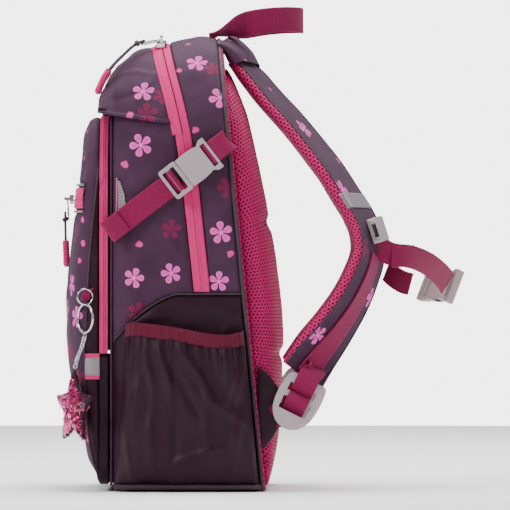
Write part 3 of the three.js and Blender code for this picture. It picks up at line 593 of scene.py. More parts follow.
def air_mesh():
    g = Finish("air_mesh")
    u, v = g.cloth()
    across, along = 3.6, 3.6 * math.sqrt(3)
    def lattice(shift):
        x = (u + across * shift).rest(across) - across / 2
        y = (v + along * shift).rest(along) - along / 2
        return (x * x + y * y).root()
    away = lattice(0.0).least(lattice(0.5))
    hole = away.step(1.15, 0.7)
    fuzz = g.noise(600.0, 3.0)
    base = g.mix(fuzz * 0.35, g.colour("mesh"), rgba(204, 34, 112))
    # Painted shade: the holes take a dark copy of the mesh pink for the shade inside them.
    base = g.mix(hole, base, g.colour("mesh_hole_shade"))
    relief = g.bump(away.step(0.6, 1.5) + fuzz * 0.15, 0.0008, 0.8)
    return g.surface(base, hole * 0.1 + 0.62, relief, sheen_weight=0.03, specular_ior_level=0.22)


def elastic_binding():
    g = Finish("elastic_binding")
    u = g.cloth()[0]
    ribs = (u * (2 * math.pi / 1.1)).sine() * 0.5 + 0.5
    gather = g.noise(120.0, 2.0)
    base = g.mix(ribs * 0.5, g.colour("elastic", 0.55), g.colour("elastic"))
    relief = g.bump(ribs + gather, 0.0004, 0.8)
    return g.surface(base, gather * 0.1 + 0.55, relief, sheen_weight=0.04, specular_ior_level=0.22)


def zip_tape():
    g = Finish("zip_tape")
    u, v = g.cloth()
    ribs = (u * (2 * math.pi / 1.25)).sine() * 0.5 + 0.5
    coil = abs(v).step(2.2, 1.6)
    slit = abs(v).step(0.35, 0.12)
    seam = abs(abs(v) - 5.2).step(0.55, 0.2)
    dark = g.colour("pink", 0.22)
    base = g.mix(ribs * 0.4 + 0.2, g.colour("pink", 0.62), dark)
    # Painted highlight: the raised coil is lighter on each rib, standing in for the light it catches.
    base = g.mix(coil * ribs * 0.4, base, rgba(140, 4, 70))
    base = g.mix(slit.most(seam * 0.55), base, dark)
    relief = g.bump(ribs * (coil * 0.8 + 0.25) - slit * 1.5 - seam * 0.6, 0.0005, 0.9)
    return g.surface(base, ribs * 0.1 + 0.5, relief, sheen_weight=0.03, specular_ior_level=0.35)


def moulded_grey():
    g = Finish("moulded_grey")
    fine = g.noise(1400.0, 2.0)
    flow = g.noise(45.0, 3.0)
    base = g.mix(flow.step(0.3, 0.7) * 0.3, g.colour("grey"), rgba(164, 150, 154))
    relief = g.bump(fine, 0.00006, 0.6)
    return g.surface(base, fine * 0.1 + flow * 0.08 + 0.3, relief, subsurface_weight=0.05,
        subsurface_scale=0.002)


def plated_metal():
    g = Finish("plated_metal")
    flow, fine = g.noise(240.0, 4.0), g.noise(1600.0, 2.0)
    base = g.mix(flow.step(0.4, 0.75) * 0.35, g.colour("metal"), rgba(150, 148, 154))
    relief = g.bump(fine, 0.00003, 0.4)
    return g.surface(base, flow * 0.16 + 0.1, relief, metallic=1.0)


def grip_rubber():
    g = Finish("grip_rubber")
    fine, flow = g.noise(900.0, 2.0), g.noise(80.0)
    base = g.mix(flow * 0.4, g.colour("pink", 0.7), g.colour("pink", 0.4))
    return g.surface(base, fine * 0.12 + 0.4, g.bump(fine, 0.0001, 0.5), coat_weight=0.03)


def braided_cord():
    g = Finish("braided_cord")
    u, v = g.cloth()
    plait = (u * 3.2 + v * 2.4).sine() * (u * 3.2 - v * 2.4).sine() * 0.5 + 0.5
    base = g.mix(plait, g.colour("cord"), rgba(72, 52, 68))
    return g.surface(base, plait * 0.1 + 0.6, g.bump(plait, 0.00025, 0.9), sheen_weight=0.04)


def sequin_foil():
    g = Finish("sequin_foil")
    shade = g.node("ShaderNodeAttribute", {"attribute_name": "shade"}, None, "Fac")
    # The ramp turns each sequin's painted shade and random tone into colour, from shaded dark magenta to lit light
    # pink.
    base = g.node(
        "ShaderNodeValToRGB",
        {"stops": [(0.0, srgb(70, 0, 36)), (0.35, srgb(160, 4, 78)), (0.7, srgb(206, 26, 118)),
            (1.0, srgb(238, 110, 176))]},
        {0: shade},
    )
    fine = g.noise(500.0, 2.0)
    return g.surface(base, fine * 0.12 + 0.16, g.bump(fine, 0.00008, 0.5), metallic=0.55, coat_weight=0.6)


def reflective_strip():
    g = Finish("reflective_strip")
    u, v = g.cloth()
    pitch = 1.7
    x, y = u.rest(pitch) - pitch / 2, v.rest(pitch) - pitch / 2
    dots = (x * x + y * y).root().step(0.62, 0.42)
    base = g.mix(dots, g.colour("reflective"), rgba(88, 80, 86))
    return g.surface(base, dots * 0.3 + 0.3, g.bump(dots, 0.0001, 0.6), metallic=0.35)


def thread(name, dark, light):
    g = Finish(name)
    twist = g.noise(2200.0, 2.0)
    base = g.mix(twist, dark or g.colour("pink"), light)
    return g.surface(base, twist * 0.1 + 0.5, g.bump(twist, 0.0001, 0.6), sheen_weight=0.04)


def stitch_thread():
    return thread("stitch_thread", None, rgba(240, 110, 176))


def dark_thread():
    return thread("dark_thread", rgba(60, 30, 52), rgba(104, 66, 92))


def dark_binding():
    g = Finish("dark_binding")
    u = g.cloth()[0]
    ribs = (u * 4.6).sine() * 0.5 + 0.5
    base = g.mix(ribs, rgba(34, 14, 28), rgba(58, 28, 46))
    return g.surface(base, ribs * 0.1 + 0.55, g.bump(ribs, 0.0003, 0.8), sheen_weight=0.04)


def lining_cloth():
    g = Finish("lining_cloth")
    u, v = g.cloth()
    grain = weave(u, v, 0.8)
    base = g.mix(grain, g.colour("lining"), rgba(66, 48, 68))
    return g.surface(base, grain * 0.1 + 0.6, g.bump(grain, 0.0002, 0.7), sheen_weight=0.04)


FINISHES = (
    printed_cloth, wine_cloth, ribbed_webbing, air_mesh, elastic_binding, zip_tape, moulded_grey, plated_metal,
    grip_rubber, braided_cord, sequin_foil, reflective_strip, stitch_thread, dark_thread, dark_binding,
    lining_cloth,
)


# ---- Shape of the bag, in millimetres ----------------------------------------------------------

HALF_WIDTH, FRONT_SEAM, CORNER_START, ARCH_RADIUS = 132.0, -62.0, -40.0, 95.0
TOP_SPLIT, ZIP_WIDTH, ZIP_PROUD, ZIP_END = 290.0, 14.0, 0.8, 172.0
POCKET_HALF, POCKET_TOP, POCKET_FOOT, POCKET_MIDDLE = 119.0, 324.0, 6.0, 165.0
POCKET_BACK, POCKET_FRONT = -66.4, -74.0
SQUARENESS = 3.4

top_at = profile([(-61, 366), (-44, 380), (-29, 385.5), (-10, 389), (12, 393.5), (32, 391.5)])
zip_centre = profile(
    [(172, 14.6), (205, 11.2), (258, 5.2), (302, -0.9), (337, -8.6), (365, -16), (390, -22)]
)


def seam_depth(z):
    """Depth of the back seam: the back leans forward as it rises."""
    return 66 - 0.098 * z


def half_width_at(y):
    """Half the bag's width: it narrows by the square of the distance in front of the corner's start."""
    return HALF_WIDTH - 10 * np.maximum(0, (CORNER_START - y) / (CORNER_START - FRONT_SEAM)) ** 2


def side_top(y):
    """Height of the plain lower side, which falls away to the front as a power of 1.6."""
    return 170 - 33 * (np.maximum(0, -5 - y) / 50) ** 1.6


def lid_edge(y):
    """Height of the foot of the lid."""
    return 328 - 0.17 * (y + 70)


def zip_front(z):
    return zip_centre(z) - ZIP_WIDTH / 2


def zip_back(z):
    return zip_centre(z) + ZIP_WIDTH / 2


def arch_point(k, half, top, radius, foot):
    """An arch from its right foot at k = -1 to its left foot at 1: upright, a quarter turn, level. Gives x, z
    and the distance along it."""
    centre, level = half - radius, top - radius
    upright = np.maximum(0, level - foot)
    start = np.arcsin(np.clip((foot - level) / radius, 0, 1))
    bend = radius * (np.pi / 2 - start)
    whole = upright + bend + centre
    run = (1 - np.abs(k)) * whole
    angle = start + np.clip(run - upright, 0, bend) / radius
    x = np.where(run <= upright, half,
        np.where(run <= upright + bend, centre + radius * np.cos(angle), centre - (run - upright - bend)))
    z = np.where(run <= upright, foot + run, level + radius * np.sin(angle))
    return np.where(k < 0, x, -x), z, np.where(k < 0, foot + run, foot + 2 * whole - run)


def bag_side(y, z, inset=0.0):
    """Half the bag's width at a depth and height: upright, then a quarter circle to the top."""
    rise = np.maximum(0, z - (top_at(y) - ARCH_RADIUS))
    return (
        half_width_at(y) - ARCH_RADIUS
        + np.sqrt((ARCH_RADIUS - inset) ** 2 - np.minimum(rise, ARCH_RADIUS - inset) ** 2)
    )


def side_panel(low, high, front, back, columns, rows, relief):
    """A panel on the right side between low and high edges over depth and front and back edges over height,
    moved out by its relief. Gives its points and its distances along the cloth."""
    u, v = parameters(columns, rows)
    y, z = np.zeros_like(u), np.zeros_like(u)
    for _ in range(12):
        z = low(y) + (high(y) - low(y)) * v
        y = front(z) + (back(z) - front(z)) * u
    out = relief(u, v, y, z)
    rise = np.maximum(0, z - (top_at(y) - ARCH_RADIUS)) / ARCH_RADIUS
    x = bag_side(y, z) + out * np.sqrt(1 - np.minimum(rise, 1) ** 2)
    return together(x, y, z + out * np.minimum(rise, 1)), together(y, z)


def arch_panel(front, back, foot, columns, rows, relief):
    """A panel that follows the arch of the bag between a front and a back edge over height. Its depth depends on
    its height and its height on its depth, so both are found by repeating a few times."""
    u, v = parameters(columns, rows)
    k = 2 * u - 1
    y = np.zeros_like(u)
    for _ in range(12):
        z = arch_point(k, half_width_at(y), top_at(y), ARCH_RADIUS, foot)[1]
        y = front(z) + (back(z) - front(z)) * v
    out = relief(u, v, y, z)
    x, z, run = arch_point(k, half_width_at(y) + out, top_at(y) + out, ARCH_RADIUS + out, foot)
    return together(x, y, z), together(y, run)


def cloth_relief(across, along, seed, depth=1.3, swell=1.6, ripple=0.5, lines=(), open_top=False):
    """Relief of a panel: pulled in at its seams, a little uneven, with folds. An open top has no seam."""

    def relief(u, v, y, z):
        v = v / 2 if open_top else v
        return (
            seam_pull(u, v, across, along, depth, swell)
            + ripple * crumple(y, z, seed)
            * smoothstep(np.minimum(np.minimum(u, 1 - u) * across, np.minimum(v, 1 - v) * along), 0, 8)
            + creases(y, z, lines)
        )

    return relief


def on_side(y, z, out):
    """Points on the right side of the bag, standing out by a distance."""
    rise = np.clip((z - (top_at(y) - ARCH_RADIUS)) / ARCH_RADIUS, 0, 1)
    return together(bag_side(y, z) + out * np.sqrt(1 - rise**2), y, z + out * rise)


# ---- Bands, cords and stitches -----------------------------------------------------------------


def frame_along(path, t, across):
    """Middle, width direction and outward direction of a band: normal = across x tangent."""
    tangent = path.tangent(t)
    across = unit(across - (across * tangent).sum(-1, keepdims=True) * tangent)
    return path.at(t), across, np.cross(across, tangent)


BAND_SECTION = np.array(
    [(-0.5, -0.2), (-0.485, -0.5), (-0.44, -0.58), (-0.36, -0.5), (-0.12, -0.5), (0.12, -0.5), (0.36, -0.5),
     (0.44, -0.58), (0.485, -0.5), (0.5, -0.2), (0.5, 0.2), (0.485, 0.5), (0.44, 0.58), (0.36, 0.5),
     (0.12, 0.5), (-0.12, 0.5), (-0.36, 0.5), (-0.44, 0.58), (-0.485, 0.5), (-0.5, 0.2)]
)


def band_grid(middle, across, normal, width, thickness):
    """A flat band with thicker woven edges: its section carried along, closed at both ends. Gives points and
    distances along and across the band."""
    w, h = BAND_SECTION[None, :, :1], BAND_SECTION[None, :, 1:]
    grid = middle[:, None] + across[:, None] * w * width + normal[:, None] * h * thickness
    run = run_along(middle)
    run = with_ends(run)
    return capped(grid), together(run[:, None], w[..., 0] * width)


def webbing(name, path, across, body, replaces=(), width=20.0, thickness=None, t0=0.0, t1=1.0, lift=0.0,
            steps=60, side=1):
    """A band of pink webbing along a path. Its width lies along one direction, or one for each share of it."""
    thickness = thickness or bpy.context.scene.backpack_sizes.webbing_thickness / MM
    t = np.linspace(t0, t1, steps + 1)
    level = across(t) if callable(across) else np.broadcast_to(across, (len(t), 3))
    middle, across, normal = frame_along(path, t, level)
    grid, cloth = band_grid(middle + normal * lift, across, normal, width, thickness)
    return build(name, grid, "ribbed_webbing", body, replaces, cloth, (False, True), True, side=side)


def closed_tube(middle, radius, sides):
    """A round section carried along points, with its turn held from one point to the next, closed at its ends.
    Gives points and distances along and round the tube."""
    tangent = unit(np.gradient(middle, axis=0))
    frames = [unit(np.cross(tangent, np.array([0.3, 0.2, 1.0]))[:1])[0]]
    for direction in tangent[1:]:
        side = frames[-1] - direction * (frames[-1] @ direction)
        frames.append(side / np.linalg.norm(side))
    a = np.array(frames)
    b = np.cross(tangent, a)
    angle = circle(sides)
    r = np.broadcast_to(np.asarray(radius, float), middle.shape[:1])[:, None, None]
    ring = a[:, None] * np.cos(angle)[None, :, None] + b[:, None] * np.sin(angle)[None, :, None]
    run = run_along(middle)
    cloth = together(run[:, None], (angle * np.mean(r))[None])
    return capped(middle[:, None] + ring * r), with_ends(cloth)


def tube_piece(name, middle, radius, finish, body, replaces=(), sides=10, side=1):
    """Makes a closed tube along points."""
    grid, cloth = closed_tube(np.asarray(middle, float), radius, sides)
    return build(name, grid, finish, body, replaces, cloth, (False, True), True, side=side)


def beads(centres, directions, ups, length, width, height):
    """Small capsules lying along directions: half widths follow a sine from end to end."""
    t = np.linspace(0, np.pi, BEAD_RINGS + 1)
    angle = circle(BEAD_SIDES)
    along, round_ = -np.cos(t) * length / 2, np.sin(t) ** 0.6
    across = np.cross(directions, ups)
    grid = (
        centres[:, None, None]
        + directions[:, None, None] * along[None, :, None, None]
        + across[:, None, None] * (round_[:, None] * np.cos(angle) * width / 2)[None, :, :, None]
        + ups[:, None, None] * (round_[:, None] * np.sin(angle) * height / 2)[None, :, :, None]
    )
    quads = grid_quads(BEAD_RINGS + 1, BEAD_SIDES, False, True)
    return grid.reshape(-1, 3), copies(quads, (BEAD_RINGS + 1) * BEAD_SIDES, len(centres))


def stitches(name, lines, body, side=1, length=2.1, width=0.55):
    """Rows of stitches. Each line is points on the cloth and the outward direction at each."""
    pitch = bpy.context.scene.backpack_sizes.stitch_pitch / MM
    parts = []
    for points, normals in lines:
        run = run_along(points)
        at = np.arange(pitch / 2, run[-1], pitch)
        ends = [resample(points, run, at + shift) for shift in (-0.8, 0.8)]
        normal = unit(resample(normals, run, at))
        direction = unit(ends[1] - ends[0])
        normal = unit(normal - direction * (normal * direction).sum(-1, keepdims=True))
        parts.append(beads((ends[0] + ends[1]) / 2, direction, normal, length, width, 0.5))
    points, quads = joined(parts)
    if side < 0:
        points = points * [-1, 1, 1]
        quads = quads[:, ::-1]
    if not first_bead_out(points, quads):
        quads = quads[:, ::-1]
    return mesh_piece(name, points, quads, "dark_thread", body, (), np.zeros((len(points), 2)))


def first_bead_out(points, quads):
    """Whether the faces of the first bead point away from its middle."""
    own = quads[: BEAD_SIDES * BEAD_RINGS]
    return faces_out(points - points[own].mean((0, 1)), own, True, (0, 0, 0))


# ---- Pieces ------------------------------------------------------------------------------------


class PieceOperator:
    """Shared by the operators: finished or an error."""

    bl_options = {"REGISTER"}

    def execute(self, context):
        self.make(context)
        return {"FINISHED"}


class MakeFinishes(PieceOperator, bpy.types.Operator):
    """Makes the cloth, webbing, plastic and metal finishes"""

    bl_idname = "backpack.finishes"
    bl_label = "Finishes"

    def make(self, context):
        for finish in FINISHES:
            finish()


class MakeBodyPanels(PieceOperator, bpy.types.Operator):
    """Makes the side, top, front and base panels of the main compartment"""

    bl_idname = "backpack.body_panels"
    bl_label = "Body panels"

    def make(self, context):
        seam = lambda z: seam_depth(z) - GAP
        front = lambda z: np.full_like(z, FRONT_SEAM)
        side_flowers = flower_field(11, (-80, 80, 150, 1000), SIDE_FLOWERS)
        other_flowers = flower_field(12, (-80, 80, 150, 1000))
        lower_folds = [
            (-20, 152, 12, 26, 3.5, 1.3), (20, 158, -8, 30, 4.0, 1.1), (36, 140, 60, 22, 3.0, 0.9),
            (-44, 126, 30, 16, 3.0, 1.0), (44, 96, 75, 34, 3.5, 1.0), (50, 50, 80, 30, 3.0, 1.1),
        ]
        upper_folds = [
            (26, 196, 25, 22, 4.0, 1.2), (34, 240, 60, 26, 4.5, 1.3), (20, 262, -20, 18, 3.5, 0.9),
            (28, 286, 40, 20, 4.0, 1.0),
        ]
        gusset_folds = [
            (-30, 186, -30, 24, 4.0, 1.3), (-14, 218, -50, 26, 4.5, 1.2), (-36, 250, 20, 20, 4.0, 1.1),
            (-44, 300, 70, 24, 4.0, 1.4), (-24, 306, -35, 18, 4.0, 1.0),
        ]
        for name, side in SIDES:
            flowers = side_flowers if side > 0 else other_flowers
            grid, cloth = side_panel(
                lambda y: np.full_like(y, PANEL_FOOT), side_top, front, seam, 90, 90,
                cloth_relief(125, 160, 21, swell=1.2, ripple=0.7, lines=lower_folds),
            )
            build(f"lower_side_cloth_{name}", grid, "wine_cloth", BAG, f"lower_side_{name}", cloth,
                thickness=CLOTH_WALL, side=side)
            y = np.linspace(FRONT_SEAM + 0.5, seam_depth(170) - 1, 90)
            tube_piece(f"side_seam_{name}", on_side(y, side_top(y) + 0.2, 0.3), 0.9, "dark_binding", BAG,
                side=side, sides=8)
            grid, cloth = side_panel(
                lambda y: side_top(y) + GAP, lambda y: np.full_like(y, TOP_SPLIT + 0.2),
                lambda z: zip_back(z) + GAP, seam, 40, 80,
                cloth_relief(30, 120, 22, swell=1.8, ripple=0.5, lines=upper_folds),
            )
            build(f"rear_side_cloth_{name}", grid, "printed_cloth", BAG, f"rear_side_{name}", cloth,
                thickness=CLOTH_WALL, flowers=flowers, side=side)
            grid, cloth = side_panel(
                lambda y: side_top(y) + GAP, lambda y: lid_edge(y) - GAP,
                front, lambda z: zip_front(z) - GAP, 60, 110,
                cloth_relief(55, 360, 23, swell=1.9, ripple=0.6, lines=gusset_folds, open_top=True),
            )
            build(f"front_gusset_cloth_{name}", grid, "printed_cloth", BAG, f"front_gusset_{name}", cloth,
                thickness=CLOTH_WALL, flowers=flowers, side=side)
        grid, cloth = arch_panel(
            lambda z: zip_back(z) + GAP, seam, TOP_SPLIT + 0.2, 260, 40,
            cloth_relief(40, 460, 24, depth=1.2, swell=1.6, ripple=0.6),
        )
        build("top_cloth", grid, "printed_cloth", BAG, "top_panel", cloth, thickness=CLOTH_WALL,
            flowers=side_flowers)
        grid, cloth = arch_panel(
            lambda z: -58 + (zip_centre(z) + 58) * smoothstep(z, 316, 334), lambda z: seam_depth(z) - 2,
            5.5, 120, 16,
            lambda u, v, y, z: -4.2 + 0.5 * crumple(y, z, 25),
        )
        build("lining", grid, "lining_cloth", BAG, (), cloth, thickness=0.8)
        self.front_cloth(side_flowers)
        self.base_cloth()

    def front_cloth(self, flowers):
        """The upright panel behind the front pocket."""
        u, v = parameters(60, 90)
        z = PANEL_FOOT + (lid_edge(FRONT_SEAM) - GAP - PANEL_FOOT) * v
        x = (2 * u - 1) * (bag_side(np.full_like(z, FRONT_SEAM), z, 0.6) - 0.4)
        out = 0.9 * (1 - np.abs(2 * u - 1) ** 8)
        grid = together(x, -64.6 - out, z)
        build("front_cloth", grid, "printed_cloth", BAG, "front_panel", together(x, z), thickness=2.0,
            flowers=flowers, heart=(0, 100, 200))

    def base_cloth(self):
        """A rounded base with a soft edge: a rounded rectangle whose inset follows a quarter circle."""
        angle = circle(120)
        power = 0.28
        cx = signed_power(np.cos(angle), power)
        cy = signed_power(np.sin(angle), power)
        turn = np.linspace(-np.pi / 2, np.pi / 2, 13)
        inset, z = 2.5 * (1 - np.cos(turn)), 2.5 + 2.5 * np.sin(turn)
        x = cx[None] * (HALF_WIDTH - 1 - inset[:, None])
        y = 2 + cy[None] * (63 - inset[:, None])
        grid = together(x, y, np.broadcast_to(z[:, None], x.shape))
        build("base_cloth", capped(grid), "wine_cloth", BAG, "base_panel", None, (False, True), True)


LID_RIDGE = Path([(0, -70, 328.4), (0, -75, 335), (0, -70.5, 347), (0, -61, 366), (0, -44, 380),
    (0, -29.4, 385.5)])


def lid_surface(u, v, out=0.0):
    """The lid: arches that follow its ridge in the middle plane, narrowing over the nose."""
    k, ridge = 2 * u - 1, LID_RIDGE.at(v)
    ridge_y, ridge_z = ridge[..., 1], ridge[..., 2]
    follow = smoothstep(v, 0.3, 1)
    y = ridge_y.copy()
    lean = np.maximum(0, (366 - ridge_z) / 38)
    for _ in range(12):
        top = np.where(lean > 0, ridge_z, top_at(y))
        half = half_width_at(np.maximum(y, FRONT_SEAM)) - 20 * lean
        radius = np.maximum(ARCH_RADIUS - 83 * lean, 1)
        foot = lid_edge(y)
        x, z, run = arch_point(k, half + out, np.maximum(top + out, foot), radius + out, foot)
        y = ridge_y + follow * (zip_front(np.minimum(z, 385.5)) - zip_front(385.5))
    nose = smoothstep(-ridge_y, 50, 72)
    return together(x, y - out * nose, z), together(y, run)


class MakeLid(PieceOperator, bpy.types.Operator):
    """Makes the domed lid in front of the main zip"""

    bl_idname = "backpack.lid"
    bl_label = "Lid"

    def make(self, context):
        u, v = parameters(240, 60)
        flat = lid_surface(u, v)[1]
        out = (
            seam_pull(0.5, v, 500, 75, 1.2, 1.5)
            + 0.7 * crumple(flat[..., 0], flat[..., 1], 31) * smoothstep(np.minimum(v, 1 - v), 0, 0.12)
        )
        out += creases(flat[..., 0], flat[..., 1],
            [(-34, 352, 60, 20, 4, 1.2), (-48, 344, 20, 16, 3.5, -1.0), (-40, 372, -20, 20, 4, 1.0),
                (-58, 352, 70, 16, 4, 1.3)])
        grid, cloth = lid_surface(u, v, out)
        flowers = flower_field(11, (-100, 80, 150, 1000), SIDE_FLOWERS)
        build("lid_cloth", grid, "printed_cloth", "lid_body", "lid", cloth, thickness=CLOTH_WALL,
            flowers=flowers)


def tape_profile(across, proud):
    """Height of a zip tape over its width: low edges, a raised coil each side of the slit in the middle."""
    coil = bell(np.abs(across) - 1.1, 0.8)
    return proud - 0.9 * smoothstep(np.abs(across), 5.6, 7.0) + 0.7 * coil - 0.5 * bell(across, 0.35)


class MakeMainZip(PieceOperator, bpy.types.Operator):
    """Makes the tapes of the main zip, with the lid's half apart"""

    bl_idname = "backpack.main_zip"
    bl_label = "Main zip"

    def make(self, context):
        lid_foot = float(lid_edge(-3.0))

        def tape(name, body, replaces, front, back, foot, columns):
            def relief(u, v, y, z):
                return tape_profile(y - zip_centre(z), ZIP_PROUD)

            grid, cloth = arch_panel(front, back, foot, columns, 20, relief)
            across = grid[..., 1] - zip_centre(grid[..., 2])
            cloth = together(cloth[..., 1], across)
            build(name, grid, "zip_tape", body, replaces, cloth, thickness=CLOTH_WALL)

        split = lambda z: np.where(z < lid_foot - 9.5, zip_front(z), zip_centre(z) + GAP / 2)
        tape("main_zip_tape", BAG, "main_zip", split, zip_back, ZIP_END, 520)
        free = lambda z: zip_centre(z) - GAP / 2
        tape("main_zip_lid_tape", "lid_body", "main_zip_lid", lambda z: zip_front(z) - 2.2, free,
            lid_foot - 8.5, 360)


class MakeBack(PieceOperator, bpy.types.Operator):
    """Makes the back wall, its piping and the padded back panel"""

    bl_idname = "backpack.back"
    bl_label = "Back"

    def make(self, context):
        u, v = parameters(80, 120)
        z = 1 + 391 * np.sin(v * np.pi / 2)
        rise = np.maximum(0, z - 297)
        half = HALF_WIDTH - 95 + np.sqrt(np.maximum(0, 95**2 - rise**2))
        x = (2 * u - 1) * half
        bulge = 0.8 * np.sqrt(np.maximum(0, 1 - np.abs(2 * u - 1) ** 6))
        grid = together(x, seam_depth(z) + 3.2 + bulge, z)
        build("back_cloth", grid, "air_mesh", BAG, "back_wall", together(x, z), thickness=2.6,
            heart=(0, 0, 200))
        self.seam_piping()
        self.pad()

    def seam_piping(self):
        """A bound seam round the back: a cord along the arch at the back seam."""
        k = np.linspace(-1, 1, 321)
        x, z, _ = arch_point(k, np.full_like(k, 132.2), np.full_like(k, 391.4), 95.0, 2.0)
        middle = together(x, seam_depth(z) + 0.9, z)
        tube_piece("back_seam_binding", middle, 1.7, "dark_binding", BAG, sides=10)

    def pad(self):
        """The padded back panel, with a channel down its middle and two quilted rows."""
        outline = rounded_outline(124, 5, 366, 18, 84, 260)
        height = profile([(5, 5), (22, 10), (53, 17), (112, 25), (143, 28.5), (200, 28), (256, 24), (289, 21),
            (321, 18), (349, 12), (366, 6)])
        rings = 70
        angle = (1 - np.linspace(0, 1, rings + 1)) * np.pi / 2
        reach = np.sin(angle) ** 0.5
        roundness = np.where(angle >= np.pi / 2, 0, np.cos(angle) ** 0.5)
        x = outline[:, None, 0] * reach[None]
        z = 150 + (outline[:, None, 1] - 150) * reach[None]
        channel = 1 - 0.45 * bell(x, 17)
        rows = sum(bell(z - level, 5.0) for level in (118, 232))
        quilt = 1 - 0.14 * rows * smoothstep(np.abs(x), 14, 30)
        full = height(z) * channel * quilt
        lift = -1.2 + (full + 1.2) * roundness[None] + 0.5 * crumple(x, z, 41, 30) * roundness[None]
        grid = together(x, seam_depth(z) + 4.5 + lift, z)
        heading = unit(together(outline[:, 0] * 1.6, outline[:, 1] - 150))
        cloth = together(x, z) + heading[:, None] * np.maximum(full - lift, 0)[..., None]
        build("back_pad_cloth", np.concatenate([back_face(grid), grid], 1), "air_mesh", BAG, "back_pad",
              np.concatenate([cloth[:, :1], cloth], 1), (True, False), True)


def cloth_from_middle(grid, outline, middle):
    """Distances along a domed panel: out from its middle by the length of its surface."""
    step = np.linalg.norm(np.diff(grid[:, ::-1], axis=1), axis=2)
    away = np.concatenate([np.zeros((len(grid), 1)), np.cumsum(step, 1)], 1)[:, ::-1]
    heading = unit(together(outline[:, 0], outline[:, 1] - middle))
    return heading[:, None] * away[..., None] + [0, middle]


def back_face(grid):
    """The middle of a pillow's flat back, one column that closes it."""
    rim = grid[:, :1]
    return np.broadcast_to(rim.mean(0, keepdims=True), rim.shape)


def rounded_outline(half, foot, top, foot_radius, top_radius, count):
    """Evenly spaced points round an upright rounded panel, from the middle of its foot by the right side."""
    def arc(cx, cz, radius, start):
        angle = np.linspace(start, start + np.pi / 2, 24)
        return together(cx + radius * np.cos(angle), cz + radius * np.sin(angle))

    corners = np.vstack([
        [(0, foot)], arc(half - foot_radius, foot + foot_radius, foot_radius, -np.pi / 2),
        arc(half - top_radius, top - top_radius, top_radius, 0),
        arc(top_radius - half, top - top_radius, top_radius, np.pi / 2),
        arc(foot_radius - half, foot + foot_radius, foot_radius, np.pi), [(0, foot)],
    ])
    run = run_along(corners)
    at = np.linspace(0, run[-1], count, endpoint=False)
    return resample(corners, run, at)


pocket_depth = profile(
    [(6, 1), (14, 2.2), (26, 9), (40, 12.5), (95, 25.4), (137, 29.6), (167, 29.6), (200, 27.1), (245, 21.1),
        (290, 16), (309, 14), (324, 8)]
)


def roundness_of(reach):
    """Share of full depth at a share of the way to the rim: (1 - reach^n)^(1/n)."""
    return np.maximum(0, 1 - reach**SQUARENESS) ** (1 / SQUARENESS)


def pocket_lift(reach, z):
    """How far the pocket's cloth stands in front of its rim."""
    tall = np.abs(z - POCKET_MIDDLE) / (POCKET_TOP - POCKET_MIDDLE)
    full = pocket_depth(z) / np.maximum(0.45, roundness_of(np.minimum(tall, 1)))
    return np.maximum(0.2, full) * roundness_of(reach)


# Width of the plain gusset that runs up each side of the pocket, in front of its zip.
gusset_width = profile([(6, 0.6), (14, 1.2), (26, 5), (40, 8), (60, 10), (95, 12.3), (120, 12.5), (160, 10.4),
    (200, 8.2), (240, 4.4), (281, 0.2)])


def pocket_side(z, lift):
    """How far out the pocket's cloth is where it stands a lift in front of its rim."""
    tall = np.minimum(np.abs(z - POCKET_MIDDLE) / (POCKET_TOP - POCKET_MIDDLE), 1)
    share = np.clip(lift / (pocket_depth(z) / np.maximum(0.45, roundness_of(tall))), 0, 1)
    return POCKET_HALF * (1 - share**SQUARENESS) ** (1 / SQUARENESS)


def pocket_front(x, z):
    """Depth of the pocket's cloth at a width and height."""
    tall = np.abs(z - POCKET_MIDDLE) / (POCKET_TOP - POCKET_MIDDLE)
    return POCKET_FRONT - GAP - pocket_lift(np.maximum(np.abs(x) / POCKET_HALF, tall), z)


POCKET_FLOWERS = [
    (-128, 262, LARGE, 0, 1.0), (-126, 300, LARGE, 30, 0.9), (112, 236, BUD, 30, 1.2), (116, 216, BUD, 0, 1.2),
    (112, 200, BUD, 50, 1.1), (128, 172, DOTTED, 20, 1.0), (110, 150, LARGE, 10, 1.0), (128, 118, BUD, 30, 1.3),
    (112, 96, DOTTED, 40, 0.9), (128, 70, LARGE, 25, 0.95), (112, 44, BUD, 10, 1.2), (128, 300, LARGE, 20, 0.8),
    (96, 178, LARGE, 50, 1.0), (92, 120, DOTTED, 0, 1.0), (90, 70, LARGE, 30, 1.0), (96, 222, DOTTED, 10, 0.9),
]


# Bands round the pocket's gusset: name, lower and upper heights, finish.
GUSSET_BANDS = (
    ("band", 100, 115, "reflective_strip"), ("upper_edge", 115, 119, "zip_tape"),
    ("lower_edge", 96.5, 100, "zip_tape"),
)


